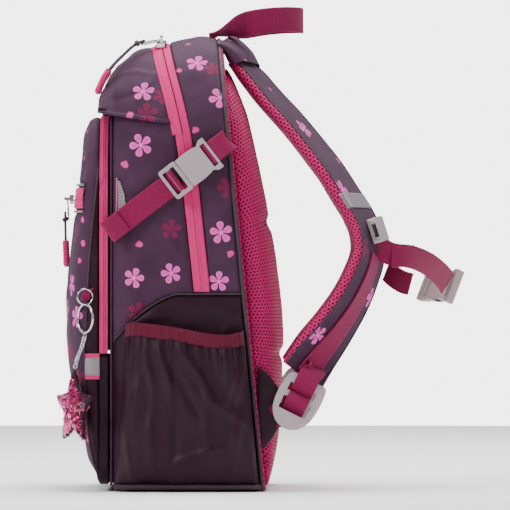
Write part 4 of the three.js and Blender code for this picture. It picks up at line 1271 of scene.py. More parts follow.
class MakeFrontPocket(PieceOperator, bpy.types.Operator):
    """Makes the front pocket, its zip, gusset, small zip, pipings and reflective strips"""

    bl_idname = "backpack.front_pocket"
    bl_label = "Front pocket"

    def make(self, context):
        outline = rounded_outline(POCKET_HALF, POCKET_FOOT, POCKET_TOP, 25, 78, 300)
        v = np.linspace(0, 1, 91)
        reach = np.sin((1 - v) * np.pi / 2) ** (2 / SQUARENESS)
        x = outline[:, None, 0] * reach[None]
        z = POCKET_MIDDLE + (outline[:, None, 1] - POCKET_MIDDLE) * reach[None]
        lift = pocket_lift(np.broadcast_to(reach[None], z.shape), z)
        y = POCKET_FRONT - GAP - lift
        flat = together(x, y, z)
        cloth = cloth_from_middle(flat, outline, POCKET_MIDDLE)
        away = np.linalg.norm(cloth - [0, POCKET_MIDDLE], axis=-1)
        heading = unit(together(outline[:, 0], outline[:, 1] - POCKET_MIDDLE))
        edge = away.max(1, keepdims=True) - away
        panel_seam = -1.0 * bell(z - 240, 2.0) - 1.0 * bell(z - 266, 2.0)
        out = (
            0.9 * crumple(cloth[..., 0], cloth[..., 1], 51, 30) * smoothstep(edge, 0, 14)
            - 0.9 * bell(edge, 2.2) + panel_seam * smoothstep(edge, 6, 14)
            + creases(cloth[..., 1], cloth[..., 0],
                [(206, 118, 80, 20, 4, 1.4), (140, 122, 95, 26, 4, 1.3), (92, 118, 70, 22, 4, 1.2),
                    (60, 112, 100, 20, 3.5, 1.1), (286, 96, 40, 20, 4, 1.2)])
        )
        forward = roundness_of(np.broadcast_to(reach[None], z.shape)) ** 1.5
        outward = heading[:, None] * (out * (1 - forward))[..., None]
        grid = flat + together(outward[..., 0], -out * forward, outward[..., 1])
        flowers = flower_field(13, (-190, 190, -60, 380), POCKET_FLOWERS, 25)

        def on_gusset(middles, quads):
            low = middles[:, 2] < 281
            return (low & (np.abs(middles[:, 0]) > 100)
                & (POCKET_FRONT - GAP - middles[:, 1] < gusset_width(middles[:, 2]))).astype(int)

        build("front_pocket_cloth", grid, ["printed_cloth", "wine_cloth"], BAG, "front_pocket", cloth,
            (True, False), thickness=2.2, flowers=flowers, heart=(0, 60, 165), material_of=on_gusset)
        self.rim_bands()
        self.small_zip()
        self.reflective_parts()

    def rim_bands(self):
        """The zip tape over the top of the pocket's rim and the ribbed gusset below it, each a band that runs
        round the rim at full depth."""
        count = 800
        outline = rounded_outline(POCKET_HALF, POCKET_FOOT, POCKET_TOP, 25, 78, count)
        length = np.linalg.norm(np.diff(np.vstack([outline, outline[:1]]), axis=0), axis=1).sum()
        end = (POCKET_HALF - 25 + 12.5 * np.pi + 118 - POCKET_FOOT - 25) / length
        for name, finish, node, part in (
            ("front_pocket_zip_tape", "zip_tape", "front_pocket_zip", (end, 1 - end)),
            ("front_pocket_gusset_cloth", "wine_cloth", "front_pocket_gusset",
                (1 - end + 0.0007, 1 + end - 0.0007)),
        ):
            index = np.arange(math.ceil(part[0] * count), math.floor(part[1] * count) + 1) % count
            rim = outline[index]
            across = np.linspace(-0.5, 0.5, 17)
            depth = POCKET_BACK - 0.2 + (POCKET_FRONT - POCKET_BACK + 0.2) * (across + 0.5)
            if finish == "zip_tape":
                out = 0.2 + tape_profile(across * 12.0, 0.5)
            else:
                out = 0.3 + 0.5 * np.sin(across * 4 * np.pi * 1.5) ** 2
            heading = unit(together(rim[:, 0], rim[:, 1] - POCKET_MIDDLE))
            x = rim[:, None, 0] + heading[:, None, 0] * out[None]
            z = rim[:, None, 1] + heading[:, None, 1] * out[None]
            grid = together(x, np.broadcast_to(depth[None], x.shape), z)
            run = np.arange(len(index)) * length / count
            cloth = together(run[:, None], across[None] * 14)
            build(name, grid, finish, BAG, node, cloth, thickness=2.0, heart=(0, -70, 165))

    def small_zip(self):
        """The level zip of the small pocket, with a piping above and below it."""
        u, v = parameters(240, 20)
        x, across = (2 * u - 1) * 112.5, (v - 0.5) * 18
        z = 253 + across
        y = pocket_front(x, z) - 1.2 - tape_profile(across * 0.75, 0.6)
        build("small_pocket_zip_tape", together(x, y, z), "zip_tape", BAG, "small_pocket_zip",
            together(x, across * 0.75), thickness=1.2, heart=(0, 0, 253))
        for name, level in (("upper", 264.5), ("lower", 241.5)):
            t = np.linspace(-1, 1, 201)
            px = t * 113.5
            middle = together(px, pocket_front(px, np.full_like(px, level)) - 0.7, np.full_like(px, level))
            tube_piece(f"small_zip_piping_{name}", middle, 1.0, "reflective_strip", BAG)

    def reflective_parts(self):
        """Reflective strips: a wedge beside the pocket's zip and a band round its gusset, each side."""
        for name, side in SIDES:
            u, v = parameters(40, 12)
            z = 222 + 46 * u
            y = -58.6 + (2 + 5.6 * np.sin(u * np.pi)) * v
            build(f"reflective_wedge_{name}", on_side(y, z, 2.6), "reflective_strip", BAG, (), together(y, z),
                thickness=0.8, side=side)
            t = np.linspace(0, 1, 60)
            line = on_side(-58.9 + 0 * t, 220 + 50 * t, 3.4 + 0 * t)
            tube_piece(f"wedge_piping_{name}", line, 0.7, "stitch_thread", BAG, side=side, sides=8)
            z = np.linspace(10, 279, 160)
            lift = gusset_width(z)
            seam = together(pocket_side(z, lift) + 0.6, POCKET_FRONT - GAP - lift, z)
            tube_piece(f"gusset_seam_{name}", seam, 0.75, "dark_binding", BAG, side=side, sides=8)
            for part, low, high, finish in GUSSET_BANDS:
                u, v = parameters(30, 10)
                z = low + (high - low) * v
                lift = -0.2 + (gusset_width(z) + 0.2) * u
                x = pocket_side(z, np.maximum(lift, 0)) + 1.7
                build(f"gusset_{part}_{name}", together(x, POCKET_FRONT - lift, z), finish, BAG, (),
                    together(lift, z), thickness=0.8, side=side)


side_bulge = profile([(6, 2), (14, 9), (30, 15), (70, 18), (128, 16.5), (141, 15), (150, 15)])


# Folds of the side pocket: depth, height, turn, half length, half width and height of each.
POCKET_FOLDS = [
    (-17, 105, -74, 22, 4.0, 2.8), (10, 103, -57, 25, 4.0, 3.0), (45, 89, 73, 27, 5.0, 3.0),
    (27, 75, -29, 24, 5.0, 2.6),
    (-52, 63, 90, 50, 3.0, 2.2), (-30, 42, 90, 26, 4.0, 2.4), (19, 45, 95, 30, 5.0, 2.6),
    (-7, 62, 88, 42, 5.0, -2.4),
    (44, 44, 80, 28, 4.5, 2.4), (-44, 72, 80, 26, 4.0, 2.0), (4, 30, 20, 30, 3.5, 1.6),
    (-30, 100, -80, 18, 3.0, 2.0),
    (34, 112, 85, 14, 3.0, 2.2), (2, 84, -64, 18, 4.0, -2.0),
]


def side_pocket_surface(u, z, out):
    """The stretch pocket: a bulge over the side panel whose section is a cube-law arch from seam to seam."""
    front, back = FRONT_SEAM + 2 + 8 * (z / 131), seam_depth(z) - 2
    s = -np.cos(u * np.pi)
    y = (front + back) / 2 + s * (back - front) / 2
    arch = (1 - np.minimum(np.abs(s), 1) ** 3) ** (1 / 3)
    return together(half_width_at(y) + 2.6 + side_bulge(z) * arch + out * arch**0.5, y, z)


class MakeSidePockets(PieceOperator, bpy.types.Operator):
    """Makes the two gathered side pockets with their elastic bindings"""

    bl_idname = "backpack.side_pockets"
    bl_label = "Side pockets"

    def make(self, context):
        top = profile([(0, 138), (0.18, 140), (0.42, 136.5), (0.68, 129.5), (0.86, 131), (1, 134)])
        rng = np.random.default_rng(61)
        places = np.linspace(0.06, 0.95, 17) + rng.uniform(-0.02, 0.02, 17)
        gathers = [(p, rng.uniform(0.010, 0.02), rng.uniform(0.6, 1.2)) for p in places]
        for name, side in SIDES:
            u, v = parameters(220, 120)
            brim = top(u) - 5.5
            z = 7 + (brim - 7) * v
            run = u * 135
            folds = sum(h * bell(u - p - 0.012 * np.sin(v * 4 + p * 9), w) for p, w, h in gathers)
            gather = folds * smoothstep(v, 0.72, 1.0) * 2.2
            low = sum(h * bell(u - p - 0.02 * (1 - v), w * 1.8) for p, w, h in gathers[::3]) * smoothstep(v,
                0.3, 0.0) * 1.2
            depth = side_pocket_surface(u, z, 0)[..., 1]
            out = (
                gather + low + 1.5 * creases(depth, z, POCKET_FOLDS) + 1.2 * crumple(run, z * 0.6, 62, 24)
                - 0.8 * bell((1 - v) * 120, 3)
            )
            build(f"side_pocket_cloth_{name}", side_pocket_surface(u, z, out), "wine_cloth", BAG,
                f"side_pocket_{name}", together(run, z), thickness=1.4, side=side)
            u, v = parameters(260, 24)
            middle = top(u)
            turn = v * 2 * np.pi
            z = middle - 6.0 * np.cos(turn)
            ruffle = sum(h * bell(u - p, w) for p, w, h in gathers) * 0.7
            skin = 1.5 * np.sin(turn)
            grid = side_pocket_surface(u, z, ruffle + skin)
            grid[..., 0] = side_pocket_surface(u, middle, ruffle)[..., 0] + skin + 0.2
            build(f"side_pocket_binding_{name}", capped(grid[:, :-1]), "elastic_binding", BAG,
                f"side_pocket_elastic_{name}",
                  together(np.pad(u[:, :-1], ((1, 1), (0, 0)), "edge") * 135,
                      np.pad(z[:, :-1], ((1, 1), (0, 0)), "edge")), (False, True), True, side=side)
            self.foot_binding(name, side)

    def foot_binding(self, name, side):
        """A dark bound seam along the foot of the pocket, from the front seam to the back one."""
        u = np.linspace(0, 1, 120)
        points = side_pocket_surface(u, np.full_like(u, 6.0), np.zeros_like(u))
        points[:, 0] += 0.6
        points[:, 2] = 4.2
        tube_piece(f"foot_binding_{name}", points, 2.2, "dark_binding", BAG, side=side)


# ---- Straps ------------------------------------------------------------------------------------

STRAP = Path([
    (46, 47.6, 372), (50, 57, 360.5), (56, 73, 341), (62, 92, 320), (68, 110, 298), (74, 126, 277),
    (79, 140, 255),
    (83, 151, 237), (87, 157, 221), (92, 158, 203), (98, 152, 183), (105, 142, 162), (112, 128, 140),
    (118, 113, 119), (122, 101, 100),
])
# Flowers of the shoulder straps: distance across, distance along, kind, turn and size.
STRAP_FLOWERS = [
    (6, 84, LARGE, 0, 1.0), (-20, 120, BUD, 0, 1.2), (20, 150, LARGE, 30, 1.0), (-26, 60, DOTTED, 0, 0.9),
    (24, 210, DOTTED, 20, 1.0), (-22, 240, LARGE, 10, 0.9), (20, 300, LARGE, 40, 0.9), (-18, 330, BUD, 0, 1.2),
]
strap_turn = profile([(0, 12), (0.5, 16), (0.7, 24), (0.86, 40), (1, 66)])
strap_width = profile([(0, 62), (0.15, 66), (0.6, 64), (0.85, 52), (1, 45)])
LOCK_MIDDLE, LOCK_TURN = (95.5, 76.0), math.radians(-26.5)


def strap_across(t):
    """Width direction of the shoulder strap: sideways, turned about its length."""
    tangent = STRAP.tangent(t)
    outward = unit(together(np.zeros_like(tangent[..., 0]), -tangent[..., 2], tangent[..., 1]))
    angle = np.radians(strap_turn(t))[..., None]
    return np.concatenate([np.cos(angle), 0 * angle, 0 * angle], -1) - outward * np.sin(angle)


def strap_section():
    """A padded section: width share, height share and distance round it from the middle of the outer face. Its
    powers make flat faces and full edges."""
    angle = np.linspace(-np.pi / 2, 1.5 * np.pi, 65)
    x = signed_power(np.cos(angle), 0.42) * 0.5
    h = signed_power(np.sin(angle), 0.75) * 0.5
    around = np.concatenate([[0], np.cumsum(np.hypot(np.diff(x * 62), np.diff(h * 11.5)))])
    return x, h, around - around[-1] / 2


def strap_top(share):
    """Height share of the strap's outer face at a width share."""
    return 0.5 * np.maximum(1 - np.abs(2 * share) ** (2 / 0.42), 0) ** 0.375


class MakeShoulderStraps(PieceOperator, bpy.types.Operator):
    """Makes the padded shoulder straps, their webbing, wings and reflective strips"""

    bl_idname = "backpack.shoulder_straps"
    bl_label = "Shoulder straps"

    def make(self, context):
        t = np.linspace(0, 1, 181)
        middle, across, normal = frame_along(STRAP, t, strap_across(t))
        x, h, around = strap_section()
        width = strap_width(t)[:, None, None]
        run = t * STRAP.length
        puff = 11.5 * (1 - 0.5 * smoothstep(t, 0.9, 1.0)) * (1 - 0.35 * smoothstep(0.06 - t, 0, 0.06))
        soft = 0.35 * crumple(run[:, None], x[None] * 60, 71, 24)
        height = h[None] * (puff[:, None] + soft)
        grid = (
            middle[:, None] + across[:, None] * x[None, :, None] * width + normal[:, None] * height[..., None]
        )
        cloth = together(-around[None], run[:, None])
        flowers = flower_field(14, (-40, 40, -20, 420), STRAP_FLOWERS)
        faces_mesh = h < 0.36

        def material_of(middles, quads):
            """Air mesh on the sides and the inner face, and printed cloth on the outer one."""
            return (faces_mesh[quads % len(h)].mean(1) > 0.6).astype(int)

        for name, side in SIDES:
            body = f"strap_{name}"
            piece = build(f"shoulder_strap_cloth_{name}", capped(grid), ["printed_cloth", "air_mesh"], body,
                f"shoulder_strap_{name}", with_ends(cloth), (False, False), True, flowers=flowers, side=side,
                material_of=material_of)
            for edge, share in (("inner", -1), ("outer", 1)):
                line = (
                    middle + across * (share * strap_width(t) * 0.435)[:, None]
                    + normal * (puff * 0.375 + 0.2)[:, None]
                )
                tube_piece(f"strap_edge_{edge}_{name}", line, 0.9, "dark_binding", body, sides=8, side=side)
            lines = []
            for share in (-0.375, 0.375):
                at = middle + across * (share * strap_width(t))[:, None] + normal * (puff * 0.435)[:, None]
                lines.append((at[6:-6], normal[6:-6]))
            stitches(f"strap_stitches_{name}", lines, body, side)
            webbing(f"strap_webbing_band_{name}", STRAP, strap_across, body, f"strap_webbing_{name}", t0=0.63,
                t1=0.995, lift=6.7, thickness=1.8, side=side, steps=90)
            self.reflective(name, side, body)
            self.root(name, side)
            self.anchor(name, side)
            self.loop(name, side, body)

    def root(self, name, side):
        """The yoke at the top, which covers the strap's end and runs up into the back seam."""
        path = Path([(44, 34.2, 390.5), (44.6, 39.5, 387.5), (46, 47.0, 378.5), (48, 52.5, 368)])
        t = np.linspace(0, 1, 31)
        middle, across, normal = frame_along(path, t, strap_across(0 * t))
        angle = circle(40)
        x = signed_power(np.cos(angle), 0.3) * 33
        h = signed_power(np.sin(angle), 0.7)
        puff = 2.6 + 4.0 * smoothstep(t, 0.0, 0.8)
        grid = (
            middle[:, None] + across[:, None] * x[None, :, None]
            + normal[:, None] * (h[None] * puff[:, None])[..., None]
        )
        cloth = together(x[None], 420 + t[:, None] * 30)
        cloth = with_ends(cloth)
        build(f"strap_root_{name}", capped(grid), "printed_cloth", BAG, (), cloth, (False, True), True,
            flowers=flower_field(15, (-60, 60, 400, 480)), side=side)

    def reflective(self, name, side, body):
        """A reflective strip across the outer face."""
        s, w = np.linspace(0.462, 0.508, 14), np.linspace(-0.5, 0.5, 40)
        t, share = np.meshgrid(s, w, indexing="ij")
        middle, across, normal = frame_along(STRAP, t.ravel(), strap_across(t.ravel()))
        lift = 11.8 * strap_top(share.ravel() * 0.97) + 0.5
        grid = (middle + across * (share.ravel() * strap_width(t.ravel()) * 0.985)[:, None]
            + normal * lift[:, None]).reshape(*t.shape, 3)
        heart = tuple(STRAP.at(0.485)
            - frame_along(STRAP, np.array([0.485]), strap_across(np.array([0.485])))[2][0] * 20)
        build(f"strap_reflective_{name}", grid, "reflective_strip", body, (),
            together(t * STRAP.length, share * 60), thickness=0.6, side=side, heart=heart)

    def anchor(self, name, side):
        """The dark wing at the foot of the back that carries the ladder lock: a padded triangle."""
        outline = np.array([(62.5, 108), (72, 101), (80, 90), (82.5, 81), (83, 72), (82.5, 64), (81, 56),
            (76, 47), (69, 38), (64, 34), (62, 60), (62, 84)], float)
        middle = outline.mean(0)
        rings = np.array([(0.0, -1.6), (0.55, -1.6), (0.9, -1.5), (0.98, -0.9), (1.0, 0.0), (0.98, 0.9),
            (0.9, 1.6), (0.55, 1.9), (0.0, 2.0)])
        dense = np.concatenate([outline, outline[:1]])
        run = run_along(dense)
        at = np.linspace(0, run[-1], 90, endpoint=False)
        rim = resample(dense, run, at)
        flat = middle + (rim[None] - middle) * rings[:, None, :1]
        grid = np.concatenate([np.broadcast_to(127.5 + rings[:, None, 1:], (*flat.shape[:2], 1)), flat], -1)
        build(f"wing_cloth_{name}", grid, "wine_cloth", BAG, f"wing_{name}", None, (False, True),
            True, side=side)

    def loop(self, name, side, body):
        """The webbing that runs from the strap's end through the ladder lock, and its fixed loop to the wing."""
        c, s = math.cos(LOCK_TURN), math.sin(LOCK_TURN)

        def at(across, along, x):
            return (x, LOCK_MIDDLE[0] + across * c - along * s, LOCK_MIDDLE[1] + across * s + along * c)

        end = STRAP.at(np.array([0.985]))[0]
        # Down from the strap, over the top bar, back under it and up behind: the free end hangs short.
        path = Path([tuple(end + [4, 1, 3]), at(1, 34, 128), at(0, 27, 136.5), at(0, 19, 137.8),
            at(0, 11.5, 133.4), at(0, 4.5, 128.6)])
        level = np.array([0.0, c, s])
        webbing(f"strap_lower_webbing_{name}", path, level, None, width=19.5, thickness=1.6,
            side=side, steps=60)
        piece = bpy.data.objects[f"strap_lower_webbing_{name}"]
        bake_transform(piece)
        wrap = Path([at(0, -20, 129.6), at(0, -9, 129.4), at(0, -3.2, 133.2), at(0, 1, 138.3),
            at(0, 6.5, 137.2), at(0, 7.2, 131), at(0, 4, 128.8), at(-4, -12, 128.9), at(-14, -20, 128.6)])
        webbing(f"lock_webbing_{name}", wrap, level, f"lock_{name}", width=19.5, thickness=1.5,
            side=side, steps=70)


CLIMB = math.radians(37.5)
ACROSS_CLIMB = np.array([0, -math.sin(CLIMB), math.cos(CLIMB)])
# Webbing of a compression strap: its name, its CAD node, width, thickness, steps, and its line as distances up the
# strap and distances out.
CLIMB_BANDS = (
    ("", "compression_strap_front", 20.5, 1.7, 110, (
        (-82, 137.8), (-74, 138.0), (-50, 137.4), (-26, 137.4), (-16, 138.6), (-11.5, 141.5), (-9.5, 144.4),
        (-8.2, 143.2), (-7.4, 139.6),
    )),
    ("_under", None, 20, 1.6, 80,
        ((-83, 126.0), (-76, 133.4), (-60, 135.4), (-36, 135.4), (-14, 136.2), (-8, 136.6))),
    ("_fold", None, 20.5, 1.6, 60,
        ((-82.3, 137.8), (-83.2, 139.0), (-82.3, 140.1), (-74, 140.0), (-66, 139.9))),
    ("_rear", "compression_strap_rear", 20, 1.7, 60, (
        (25, 139.2), (27, 143.2), (31, 143.6), (37, 140.0), (43, 137.0), (46.5, 134.6), (48.5, 130.5),
    )),
)


def climb_point(distance, x, across=0.0):
    """A point on the compression strap: distance up it, out at x, and across its width."""
    c, s = math.cos(CLIMB), math.sin(CLIMB)
    return np.array([x, -0.5 + distance * c - across * s, 273.6 + distance * s + across * c])


class MakeSideStraps(PieceOperator, bpy.types.Operator):
    """Makes the webbing of the side compression straps"""

    bl_idname = "backpack.side_straps"
    bl_label = "Side straps"

    def make(self, context):
        corners = [climb_point(d, 141.0, w) for d, w in ((-80, -8), (-68, -8), (-68, 8), (-80, 8), (-80, -8))]
        t = np.linspace(0, 1, 10)[:, None]
        lines = [(a + (b - a) * t, np.broadcast_to([1.0, 0, 0], (10, 3)))
            for a, b in zip(corners[:-1], corners[1:])]
        for name, side in SIDES:
            for part, node, width, thickness, steps, line in CLIMB_BANDS:
                path = Path([climb_point(d, x) for d, x in line])
                replaces = f"{node}_{name}" if node else ()
                webbing(f"compression_webbing{part}_{name}", path, ACROSS_CLIMB, BAG, replaces, width=width,
                    thickness=thickness, steps=steps, side=side)
            stitches(f"compression_stitches_{name}", lines, BAG, side, 1.9, 0.5)


CHEST = Path([
    (84, 178, 203), (76, 191, 203), (56, 207, 198), (32, 220, 189), (8, 228, 180), (-12, 226.5, 177),
    (-38, 211, 177),
    (-62, 193.5, 179), (-76, 184, 184), (-84, 177, 190),
])


def chest_across(t):
    """Width direction of the chest strap: upright, leaning out in the middle."""
    return together(0 * t, 0.55 * np.sin(t * np.pi), 0.9 + 0 * t)


class MakeChestStrap(PieceOperator, bpy.types.Operator):
    """Makes the webbing of the chest strap"""

    bl_idname = "backpack.chest_strap"
    bl_label = "Chest strap"

    def make(self, context):
        webbing("chest_webbing_band_right", CHEST, chest_across, "chest_strap", "chest_webbing_right", t0=0.0,
            t1=0.5, thickness=1.8, steps=90)
        webbing("chest_webbing_band_left", CHEST, chest_across, "chest_strap", "chest_webbing_left", t0=0.825,
            t1=1.0, thickness=1.8, steps=60)
        root = Path([(88, 158, 217), (87.4, 166, 211.5), (85, 176, 205.5), (79, 187, 203), (70, 197, 202.4)])
        webbing("chest_webbing_root", root, [0.0, 0.35, 0.9], "chest_strap", (), lift=1.2,
            thickness=1.6, steps=40)
        webbing("chest_webbing_tail_right", CHEST, chest_across, "chest_strap", (), t0=0.02, t1=0.12, lift=2.0,
            thickness=1.6, steps=40)


HANDLE = Path([
    (40, 20, 395.5), (40, 29, 398), (40, 39, 401), (39, 52, 405), (36, 68, 408), (28, 86, 409.5),
    (15, 98, 409.5),
    (0, 101.5, 409), (-15, 98, 409.5), (-28, 86, 409.5), (-36, 68, 408), (-39, 52, 405), (-40, 39, 401),
    (-40, 29, 398), (-40, 20, 395.5),
])


def handle_across(t):
    """Width direction of the handle: sideways at its sewn ends, and nearly upright between them."""
    turn = smoothstep(np.minimum(t, 1 - t), 0.02, 0.2) * math.radians(84)
    return together(np.where(t < 0.5, 1, -1) * np.cos(turn), 0 * t, np.sin(turn))


class MakeHandle(PieceOperator, bpy.types.Operator):
    """Makes the webbing carry handle with its sewn ends"""

    bl_idname = "backpack.handle"
    bl_label = "Carry handle"

    def make(self, context):
        webbing("carry_handle_band", HANDLE, handle_across, "handle", "carry_handle", width=22,
            thickness=2.4, steps=200)


# ---- Zip pulls ---------------------------------------------------------------------------------


def soft_copy(node, name, finish, body, edge, segments=2):
    """A moulded or cast piece from its CAD solid, with its flat faces merged and its edges rounded."""
    source = bpy.data.objects[node]
    work = bmesh.new()
    work.from_mesh(source.data)
    bmesh.ops.remove_doubles(work, verts=work.verts, dist=2e-6)
    bmesh.ops.dissolve_limit(work, angle_limit=math.radians(2), verts=work.verts, edges=work.edges)
    mesh = bpy.data.meshes.new(name)
    work.to_mesh(mesh)
    work.free()
    mesh.materials.clear()
    mesh.materials.append(bpy.data.materials[finish])
    mesh.polygons.foreach_set("material_index", np.zeros(len(mesh.polygons), np.int32))
    piece = bpy.data.objects.new(name, mesh)
    bpy.context.scene.collection.objects.link(piece)
    bevel = piece.modifiers.new("Rounded edges", "BEVEL")
    bevel.width = edge
    bevel.segments, bevel.limit_method, bevel.angle_limit = segments, "ANGLE", math.radians(32)
    bevel.harden_normals = False
    mesh.polygons.foreach_set("use_smooth", np.ones(len(mesh.polygons), bool))
    normals = piece.modifiers.new("Flat faces stay flat", "WEIGHTED_NORMAL")
    normals.keep_sharp = True
    return dress(piece, body, node)


SMALL_PULL_Y = float(pocket_front(np.array(18.0), np.array(253.0))) - 3.8
PULLS = {
    "main_zip": dict(
        body="main_pull", slider="main_slider", run=(0.966, 0, -0.259),
        line=[(64.5, -35, 390.4), (66, -44, 386.6), (68, -54, 377.6), (69.5, -63, 368.5), (71, -71, 357),
            (72, -76, 346)],
    ),
    "small_pocket": dict(
        body="small_pull", slider="small_slider", run=(1, 0, 0),
        line=[(18, SMALL_PULL_Y - 7.4, 241), (18, SMALL_PULL_Y - 7.2, 225), (18, SMALL_PULL_Y - 6.2, 196)],
    ),
    "front_pocket": dict(
        body="front_pull", slider="front_slider", run=(0, -1, 0),
        line=[(-126.5, -72.6, 188), (-126.3, -72.6, 172), (-125.5, -72.6, 144)],
    ),
}
leg_spread = profile([(0, 1.5), (0.15, 1.6), (0.5, 1.9), (1, 3.7)])


class MakeZipPulls(PieceOperator, bpy.types.Operator):
    """Makes the sliders, pullers, cords and ribbed grips of the three zips"""

    bl_idname = "backpack.zip_pulls"
    bl_label = "Zip pulls"

    def make(self, context):
        for name, pull in PULLS.items():
            soft_copy(f"{name}_slider", f"{name}_slider_body", "plated_metal", pull["slider"], 0.0005)
            soft_copy(f"{name}_puller", f"{name}_puller_loop", "plated_metal", pull["body"], 0.0004)
            self.cord_and_grip(context, name, pull)

    def cord_and_grip(self, context, name, pull):
        """The cord runs up from the grip, round the puller and down again."""
        line, side, body = Path(pull["line"]), np.array(pull["run"], float), pull["body"]
        radius = context.scene.backpack_sizes.cord_size / MM / 2
        start = 1 - 21 / line.length
        share = np.linspace(1, 0, 14)
        legs = line.at(share * start + 0.02) + side * leg_spread(share)[:, None]
        other = line.at(share * start + 0.02) - side * leg_spread(share)[:, None]
        turn = np.linspace(0, np.pi, 9)[1:-1]
        top, up = line.at(np.array([0.02]))[0], -line.tangent(np.array([0.02]))[0]
        over = top + side * (1.5 * np.cos(turn))[:, None] + up * (1.9 * np.sin(turn))[:, None]
        route = Path(np.vstack([legs, over, other[::-1]]), 8).at(np.linspace(0, 1, 38))
        for _ in range(3):
            route[1:-1] = (route[:-2] + 2 * route[1:-1] + route[2:]) / 4
        piece = tube_piece(f"{name}_cord", route, radius, "braided_cord", body,
                           f"{name}_pull_cord" if name != "front_pocket" else (), sides=10)
        grip = self.grip(name, line, start, side, body)
        knot = self.knot(name, line, side, body)

    def grip(self, name, line, start, side, body):
        """A U of rubber whose radius swells at each rib."""
        down = start + (1 - start) * np.linspace(0.0, 0.84, 34)
        foot, tangent = line.at(np.array([start + (1 - start) * 0.84]))[0], line.tangent(np.array([0.97]))[0]
        turn = np.linspace(0, np.pi, 24)[1:-1]
        bend = foot + side * (3.7 * np.cos(turn))[:, None] + tangent * (3.2 * np.sin(turn))[:, None]
        route = np.vstack([line.at(down) + side * 3.7, bend, line.at(down[::-1]) - side * 3.7])
        route = Path(route, 4).at(np.linspace(0, 1, 260))
        run = np.linspace(0, 1, 260)
        ribs = 0.32 * np.sin(run * 2 * np.pi * 24)
        ends = np.sqrt(np.clip(np.minimum(run, 1 - run) / 0.02, 0.05, 1))
        return tube_piece(f"{name}_grip", route, (2.75 + ribs) * ends, "grip_rubber", body,
            f"{name}_pull_grip", sides=18)

    def knot(self, name, line, side, body):
        """Two turns of cord round the two legs, close under the puller."""
        turn = np.linspace(0, 4 * np.pi, 60)
        top, along = line.at(np.array([0.1]))[0], line.tangent(np.array([0.1]))[0]
        out = np.cross(side, along)
        route = (
            top + side * (3.0 * np.cos(turn))[:, None] + out * (1.9 * np.sin(turn))[:, None]
            + along * (turn / turn[-1] * 3.0)[:, None]
        )
        return tube_piece(f"{name}_knot", route, 0.95, "braided_cord", body, sides=8)


class MakeFittings(PieceOperator, bpy.types.Operator):
    """Makes the moulded buckles, ladder locks and chest sliders"""

    bl_idname = "backpack.fittings"
    bl_label = "Fittings"

    def make(self, context):
        edge = context.scene.backpack_sizes.moulded_edge
        pieces = []
        for name, _ in SIDES:
            pieces += [
                (f"buckle_socket_{name}", f"side_buckle_socket_{name}", BAG, 0.0012, 3),
                (f"buckle_plug_{name}", f"side_buckle_plug_{name}", f"plug_{name}", edge, 2),
                (f"ladder_lock_{name}", f"ladder_lock_frame_{name}", f"lock_{name}", 0.001, 3),
                (f"chest_slider_{name}", f"chest_strap_slider_{name}", "chest_strap", 0.0009, 2),
            ]
        pieces.append(("chest_socket", "chest_buckle_socket", "chest_strap", 0.0012, 3))
        pieces.append(("chest_plug", "chest_buckle_plug", "chest_plug_half", edge, 2))
        for node, name, body, rounding, segments in pieces:
            soft_copy(node, name, "moulded_grey", body, rounding, segments)
        stiffener = bpy.data.objects["back_stiffener"]
        stiffener.data.materials.clear()
        stiffener.data.materials.append(bpy.data.materials["lining_cloth"])


# ---- Star charm --------------------------------------------------------------------------------

RING_MIDDLE, RING_RADIUS, RING_TURN = np.array([124.8, -86, 149.2]), 12.2, math.radians(33)
STAR_TURN, STAR_RADIUS = math.radians(29), 34.0
# A sequin from the middle of its front to that of its back: share of its size, height in millimetres.
SEQUIN_SECTION = np.array([(0.02, 0.05), (0.42, 0.20), (0.5, 0.06), (0.42, 0.02), (0.02, -0.12)])


def ring_piece(name, middle, radius, thickness, turn, body, replaces=()):
    """An upright ring of wire, turned about the vertical."""
    a = circle(96)
    x = radius * np.sin(a)
    route = middle + together(x * math.cos(turn), x * math.sin(turn), radius * np.cos(a))
    tangent = unit(np.roll(route, -1, 0) - np.roll(route, 1, 0))
    out = unit(route - middle)
    side = np.cross(tangent, out)
    angle = circle(12)
    grid = (
        route[:, None]
        + thickness
        * (out[:, None] * np.cos(angle)[None, :, None] + side[:, None] * np.sin(angle)[None, :, None])
    )
    return build(name, grid, "plated_metal", body, replaces, None, (True, True), True)


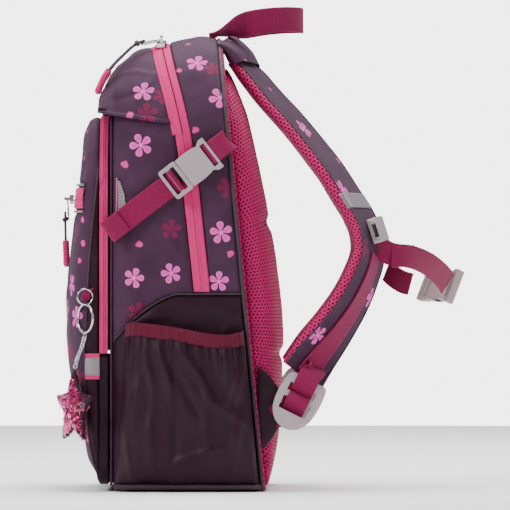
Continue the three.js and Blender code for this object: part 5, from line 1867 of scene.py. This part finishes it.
class MakeCharm(PieceOperator, bpy.types.Operator):
    """Makes the key ring, its tab and chain, and the sequin star"""

    bl_idname = "backpack.charm"
    bl_label = "Star charm"

    def make(self, context):
        ring_piece("key_ring_wire", RING_MIDDLE, RING_RADIUS, 1.15, RING_TURN, "charm_ring", "key_ring")
        small = RING_MIDDLE + [0.3, -0.2, RING_RADIUS + 6.4]
        ring_piece("tab_ring_wire", small, 6.6, 0.7, RING_TURN + 1.2, BAG)
        tab = Path([(119.2, -80.0, 174.5), (122.4, -82.4, 173.6), (124.6, -84.6, 170.4), (125.2, -86.2, 166.6),
            (123.4, -85.4, 166.2), (122.0, -83.2, 169.6), (119.0, -80.4, 171.0)])
        webbing("charm_tab_band", tab, unit(np.array([0.3, -1.0, -0.35])), BAG, (), width=6.5,
            thickness=1.2, steps=60)
        self.chain()
        self.star(context)

    def chain(self):
        """Oval links along the chain's line, each turned a quarter from the last."""
        x, y, z = RING_MIDDLE
        foot = z - RING_RADIUS - 1.1
        line = Path([(x, y, foot - 0.5), (x - 2, y - 3, foot - 11), (x - 4, y - 7, foot - 21),
            (x - 5, y - 9, foot - 29)])
        parts = []
        count = 10
        for k in range(count):
            t = (k + 0.5) / count
            middle, along = line.at(np.array([t]))[0], line.tangent(np.array([t]))[0]
            across = np.cross(along, [0.4, 0.3, 1.0] if k % 2 else [1.0, -0.6, 0.1])
            across /= np.linalg.norm(across)
            a = circle(20)
            route = middle + along * (2.3 * np.cos(a))[:, None] + across * (1.45 * np.sin(a))[:, None]
            out = unit(route - middle)
            side = np.cross(along, across)
            b = circle(8)
            grid = (
                route[:, None]
                + 0.5 * (out[:, None] * np.cos(b)[None, :, None] + side * np.sin(b)[None, :, None])
            )
            quads = grid_quads(20, 8, True, True)
            points = grid.reshape(-1, 3)
            parts.append((points, quads if faces_out(points - middle, quads, True, (0, 0, 0))
                else quads[:, ::-1]))
        points, quads = joined(parts)
        mesh_piece("charm_chain_links", points, quads, "plated_metal", "charm", "charm_chain",
            np.zeros((len(points), 2)))

    def star(self, context):
        """A stuffed star: its height follows the square root of the distance from the edge."""
        x0, y0, z0 = RING_MIDDLE
        centre = np.array([x0 - 5.5, y0 - 9.5, z0 - RING_RADIUS - 1.1 - 30.5 - STAR_RADIUS])
        c, s = math.cos(STAR_TURN), math.sin(STAR_TURN)
        corners = np.array(
            [[STAR_RADIUS * (0.52 if i % 2 else 1) * f(math.pi / 2 + i * math.pi / 5)
                for f in (math.cos, math.sin)] for i in range(10)])
        dense = np.vstack([corners, corners[:1]])
        run = run_along(dense)
        at = np.linspace(0, run[-1], 200, endpoint=False)
        rim = resample(dense, run, at)
        for _ in range(3):
            rim = (np.roll(rim, 1, 0) + rim * 2 + np.roll(rim, -1, 0)) / 4
        rim *= 0.985

        def height(points):
            a, b = dense[:-1], dense[1:]
            edge = b - a
            t = np.clip(((points[:, None] - a) * edge).sum(-1) / (edge**2).sum(-1), 0, 1)
            away = np.linalg.norm(points[:, None] - (a + edge * t[..., None]), axis=-1).min(1)
            return 5.4 * np.sqrt(np.clip(away / 13, 0, 1))

        def placed(flat, out):
            """Flat star coordinates and a distance out of its front, in the bag's frame."""
            return centre + together(flat[:, 0] * c + out * s, flat[:, 0] * s - out * c, flat[:, 1])

        shares = np.sin(np.linspace(0, np.pi / 2, 22))
        sheets = []
        for sign in (1, -1):
            for share in shares if sign > 0 else shares[::-1]:
                flat = rim * share
                sheets.append(placed(flat, sign * (height(flat) * 0.92)))
        piece = build("star_cushion", np.array(sheets), "wine_cloth", "charm", "star_charm", None,
            (False, True), True)
        self.sequins(context, corners, height, placed)

    def sequins(self, context, corners, height, placed):
        """Small dished discs over both faces of the star, in shaken rows, each tipped a little."""
        size = context.scene.backpack_sizes.sequin_size / MM
        rng = np.random.default_rng(81)
        rows = []
        for i, b in enumerate(np.arange(-STAR_RADIUS, STAR_RADIUS, size * 0.66)):
            for a in np.arange(-STAR_RADIUS, STAR_RADIUS, size * 0.8):
                rows.append((a + (i % 2) * size * 0.4, b))
        flat = np.array(rows) + rng.uniform(-0.25, 0.25, (len(rows), 2))
        flat = flat[inside_star(flat * 1.06, corners)]
        parts, tones_and_painted_shades = [], []
        angle = circle(10)
        for sign in (1, -1):
            out = sign * (height(flat) * 0.92 + 0.55)
            middle = placed(flat, out)
            slope_a, slope_b = (
                (height(flat + shift) - height(flat - shift)) / 1.2
                for shift in (np.array([0.6, 0]), np.array([0, 0.6]))
            )
            facing, ea = (
                (placed(np.array([at]), np.array([lift])) - placed(np.zeros((1, 2)), np.zeros(1)))[0]
                for at, lift in (([0.0, 0], 1.0), ([1.0, 0], 0.0))
            )
            eb = np.array([0.0, 0, 1.0])
            normal = (
                sign * facing - ea * slope_a[:, None].clip(-1.2, 1.2) - eb * slope_b[:, None].clip(-1.2, 1.2)
            )
            normal = unit(normal + rng.normal(0, 0.16, normal.shape) + eb * 0.18)
            first = unit(np.cross(normal, [0.3, 0.2, 1.0]))
            second = np.cross(normal, first)
            section = SEQUIN_SECTION * [size, 1]
            ring = (
                first[:, None] * np.cos(angle)[None, :, None] + second[:, None] * np.sin(angle)[None, :, None]
            )
            points = (
                middle[:, None, None] + ring[:, None] * section[None, :, 0, None, None]
                + normal[:, None, None] * section[None, :, 1, None, None]
            )
            quads = grid_quads(len(section), len(angle), False, True)
            many = copies(quads, len(section) * len(angle), len(flat))
            points = points.reshape(-1, 3)
            local = points[many[: len(quads)]].mean((0, 1))
            if not faces_out(points[: len(section) * len(angle)] - local, quads, True, (0, 0, 0)):
                many = many[:, ::-1]
            parts.append((points, many))
            # Painted shade: each sequin is lighter towards one side of the star and darker towards the other, as
            # light falls on it, with a random tone of its own added.
            light = np.clip(0.62 - flat[:, 0] * sign / STAR_RADIUS * 0.9 + rng.normal(0, 0.16, len(flat)), 0, 1)
            tones_and_painted_shades.append(np.repeat(light, len(section) * len(angle)))
        points, quads = joined(parts)
        mesh_piece("star_sequins", points, quads, "sequin_foil", "charm", (), np.zeros((len(points), 2)),
            shade=np.concatenate(tones_and_painted_shades))


def inside_star(points, corners):
    """Whether flat points lie in the star: an odd number of its edges pass to the right of each."""
    a, b = corners, np.roll(corners, -1, 0)
    y = points[:, None, 1]
    crosses = (a[None, :, 1] > y) != (b[None, :, 1] > y)
    run, rise = (b - a).T
    at = a[None, :, 0] + (y - a[None, :, 1]) * run[None] / np.where(rise == 0, 1e-9, rise)[None]
    return ((points[:, None, 0] < at) & crosses).sum(1) % 2 == 1


# ---- Stage -------------------------------------------------------------------------------------


FLOOR_RADIUS, FLOOR_LEVEL, DOME_RADIUS, DOME_LIGHT, WORLD_LIGHT = 2600.0, -0.2, 30000.0, 4.5, 0.3
# Lights: name, place and diameter in metres, watts.
LIGHTS = (
    ("key_light", (1.3, -1.7, 1.5), 0.7, 44),
    ("fill_light", (2.2, 1.6, 0.9), 1.6, 9),
    ("top_light", (0.5, 0.3, 2.2), 0.9, 24),
    ("back_light", (-1.0, 1.4, 1.5), 1.4, 14),
    ("floor_light", (-0.9, 0.0, 2.4), 2.2, 110),
)
CAMERA_LENS, CAMERA_SENSOR, CAMERA_PLACE = 574.0, 36.0, (7.13, 0.0602, 0.2038)


def rgba_grey(level):
    return (level, level, level, 1)


class MakeStage(PieceOperator, bpy.types.Operator):
    """Makes the pale floor, the soft lights and the camera"""

    bl_idname = "backpack.stage"
    bl_label = "Stage"

    def sheet(self, context, name, ring, level, colour, emission):
        """A surface of circles round the vertical, each with a radius and a level in millimetres."""
        g = Finish(f"pale_{name}")
        g.surface(colour, 0.9, specular_ior_level=0.0, emission_color=rgba_grey(1.0),
            emission_strength=emission)
        turn = circle(96)[None]
        ring, level = ring[:, None], level[:, None]
        grid = together(ring * np.cos(turn), ring * np.sin(turn), level + 0 * turn)
        mesh = bpy.data.meshes.new(name)
        mesh.from_pydata((grid.reshape(-1, 3) * MM).tolist(), [],
            grid_quads(*grid.shape[:2], False, True).tolist())
        weld(mesh)
        mesh.materials.append(g.material)
        piece = bpy.data.objects.new(name, mesh)
        context.scene.collection.objects.link(piece)
        return piece

    def make(self, context):
        dome = np.linspace(0, np.pi, 33)
        floor = self.sheet(context, "floor", np.array([0.0, 1200.0, FLOOR_RADIUS]), np.full(3, FLOOR_LEVEL),
            rgba_grey(0.93), 0.0)
        backdrop = self.sheet(context, "backdrop", DOME_RADIUS * np.sin(dome), DOME_RADIUS * np.cos(dome),
            rgba_grey(0.0), DOME_LIGHT)
        # Only the camera sees the dome, so it doesn't light the bag.
        for ray in ("diffuse", "glossy", "shadow", "transmission"):
            setattr(backdrop, f"visible_{ray}", False)
        world = bpy.data.worlds.new("studio")
        context.scene.world = world
        world.use_nodes = True
        world.node_tree.nodes["Background"].inputs["Color"].default_value = rgba_grey(1.0)
        world.node_tree.nodes["Background"].inputs["Strength"].default_value = WORLD_LIGHT
        for name, place, size, power in LIGHTS:
            light = bpy.data.lights.new(name, "AREA")
            light.shape, light.size, light.energy = "DISK", size, power
            lamp = bpy.data.objects.new(name, light)
            context.scene.collection.objects.link(lamp)
            lamp.location = place
            lamp.rotation_euler = (Vector((min(place[0], 0), 0, 0)) - Vector(place)).to_track_quat("-Z",
                "Y").to_euler()

        camera = bpy.data.cameras.new("camera")
        camera.lens, camera.sensor_width = CAMERA_LENS, CAMERA_SENSOR
        camera.clip_end = 100
        viewer = bpy.data.objects.new("camera", camera)
        context.scene.collection.objects.link(viewer)
        viewer.location = CAMERA_PLACE
        viewer.rotation_euler = (math.pi / 2, 0, math.pi / 2)
        context.scene.camera = viewer


OPERATORS = (
    MakeFinishes, MakeBodyPanels, MakeLid, MakeMainZip, MakeBack, MakeFrontPocket, MakeSidePockets,
    MakeShoulderStraps, MakeSideStraps, MakeChestStrap, MakeHandle, MakeZipPulls, MakeFittings,
    MakeCharm, MakeStage,
)


class BackpackPanel(bpy.types.Panel):
    """Sizes, colours and pieces of the backpack"""

    bl_idname = "VIEW3D_PT_school_backpack"
    bl_label = "School backpack"
    bl_space_type = "VIEW_3D"
    bl_region_type = "UI"
    bl_category = "Backpack"

    def draw(self, context):
        for group in (context.scene.backpack_sizes, context.scene.backpack_colours):
            box = self.layout.box()
            for key in group.__annotations__:
                box.prop(group, key)
        for operator in OPERATORS:
            self.layout.operator(operator.bl_idname)


CLASSES = (BackpackSizes, BackpackColours, *OPERATORS, BackpackPanel)


def register():
    for each in CLASSES:
        bpy.utils.register_class(each)
    bpy.types.Scene.backpack_sizes = bpy.props.PointerProperty(type=BackpackSizes)
    bpy.types.Scene.backpack_colours = bpy.props.PointerProperty(type=BackpackColours)


def unregister():
    del bpy.types.Scene.backpack_colours
    del bpy.types.Scene.backpack_sizes
    for each in reversed(CLASSES):
        bpy.utils.unregister_class(each)


def main():
    register()
    for operator in OPERATORS:
        group, name = operator.bl_idname.split(".")
        getattr(getattr(bpy.ops, group), name)()


if __name__ == "__main__":
    main()
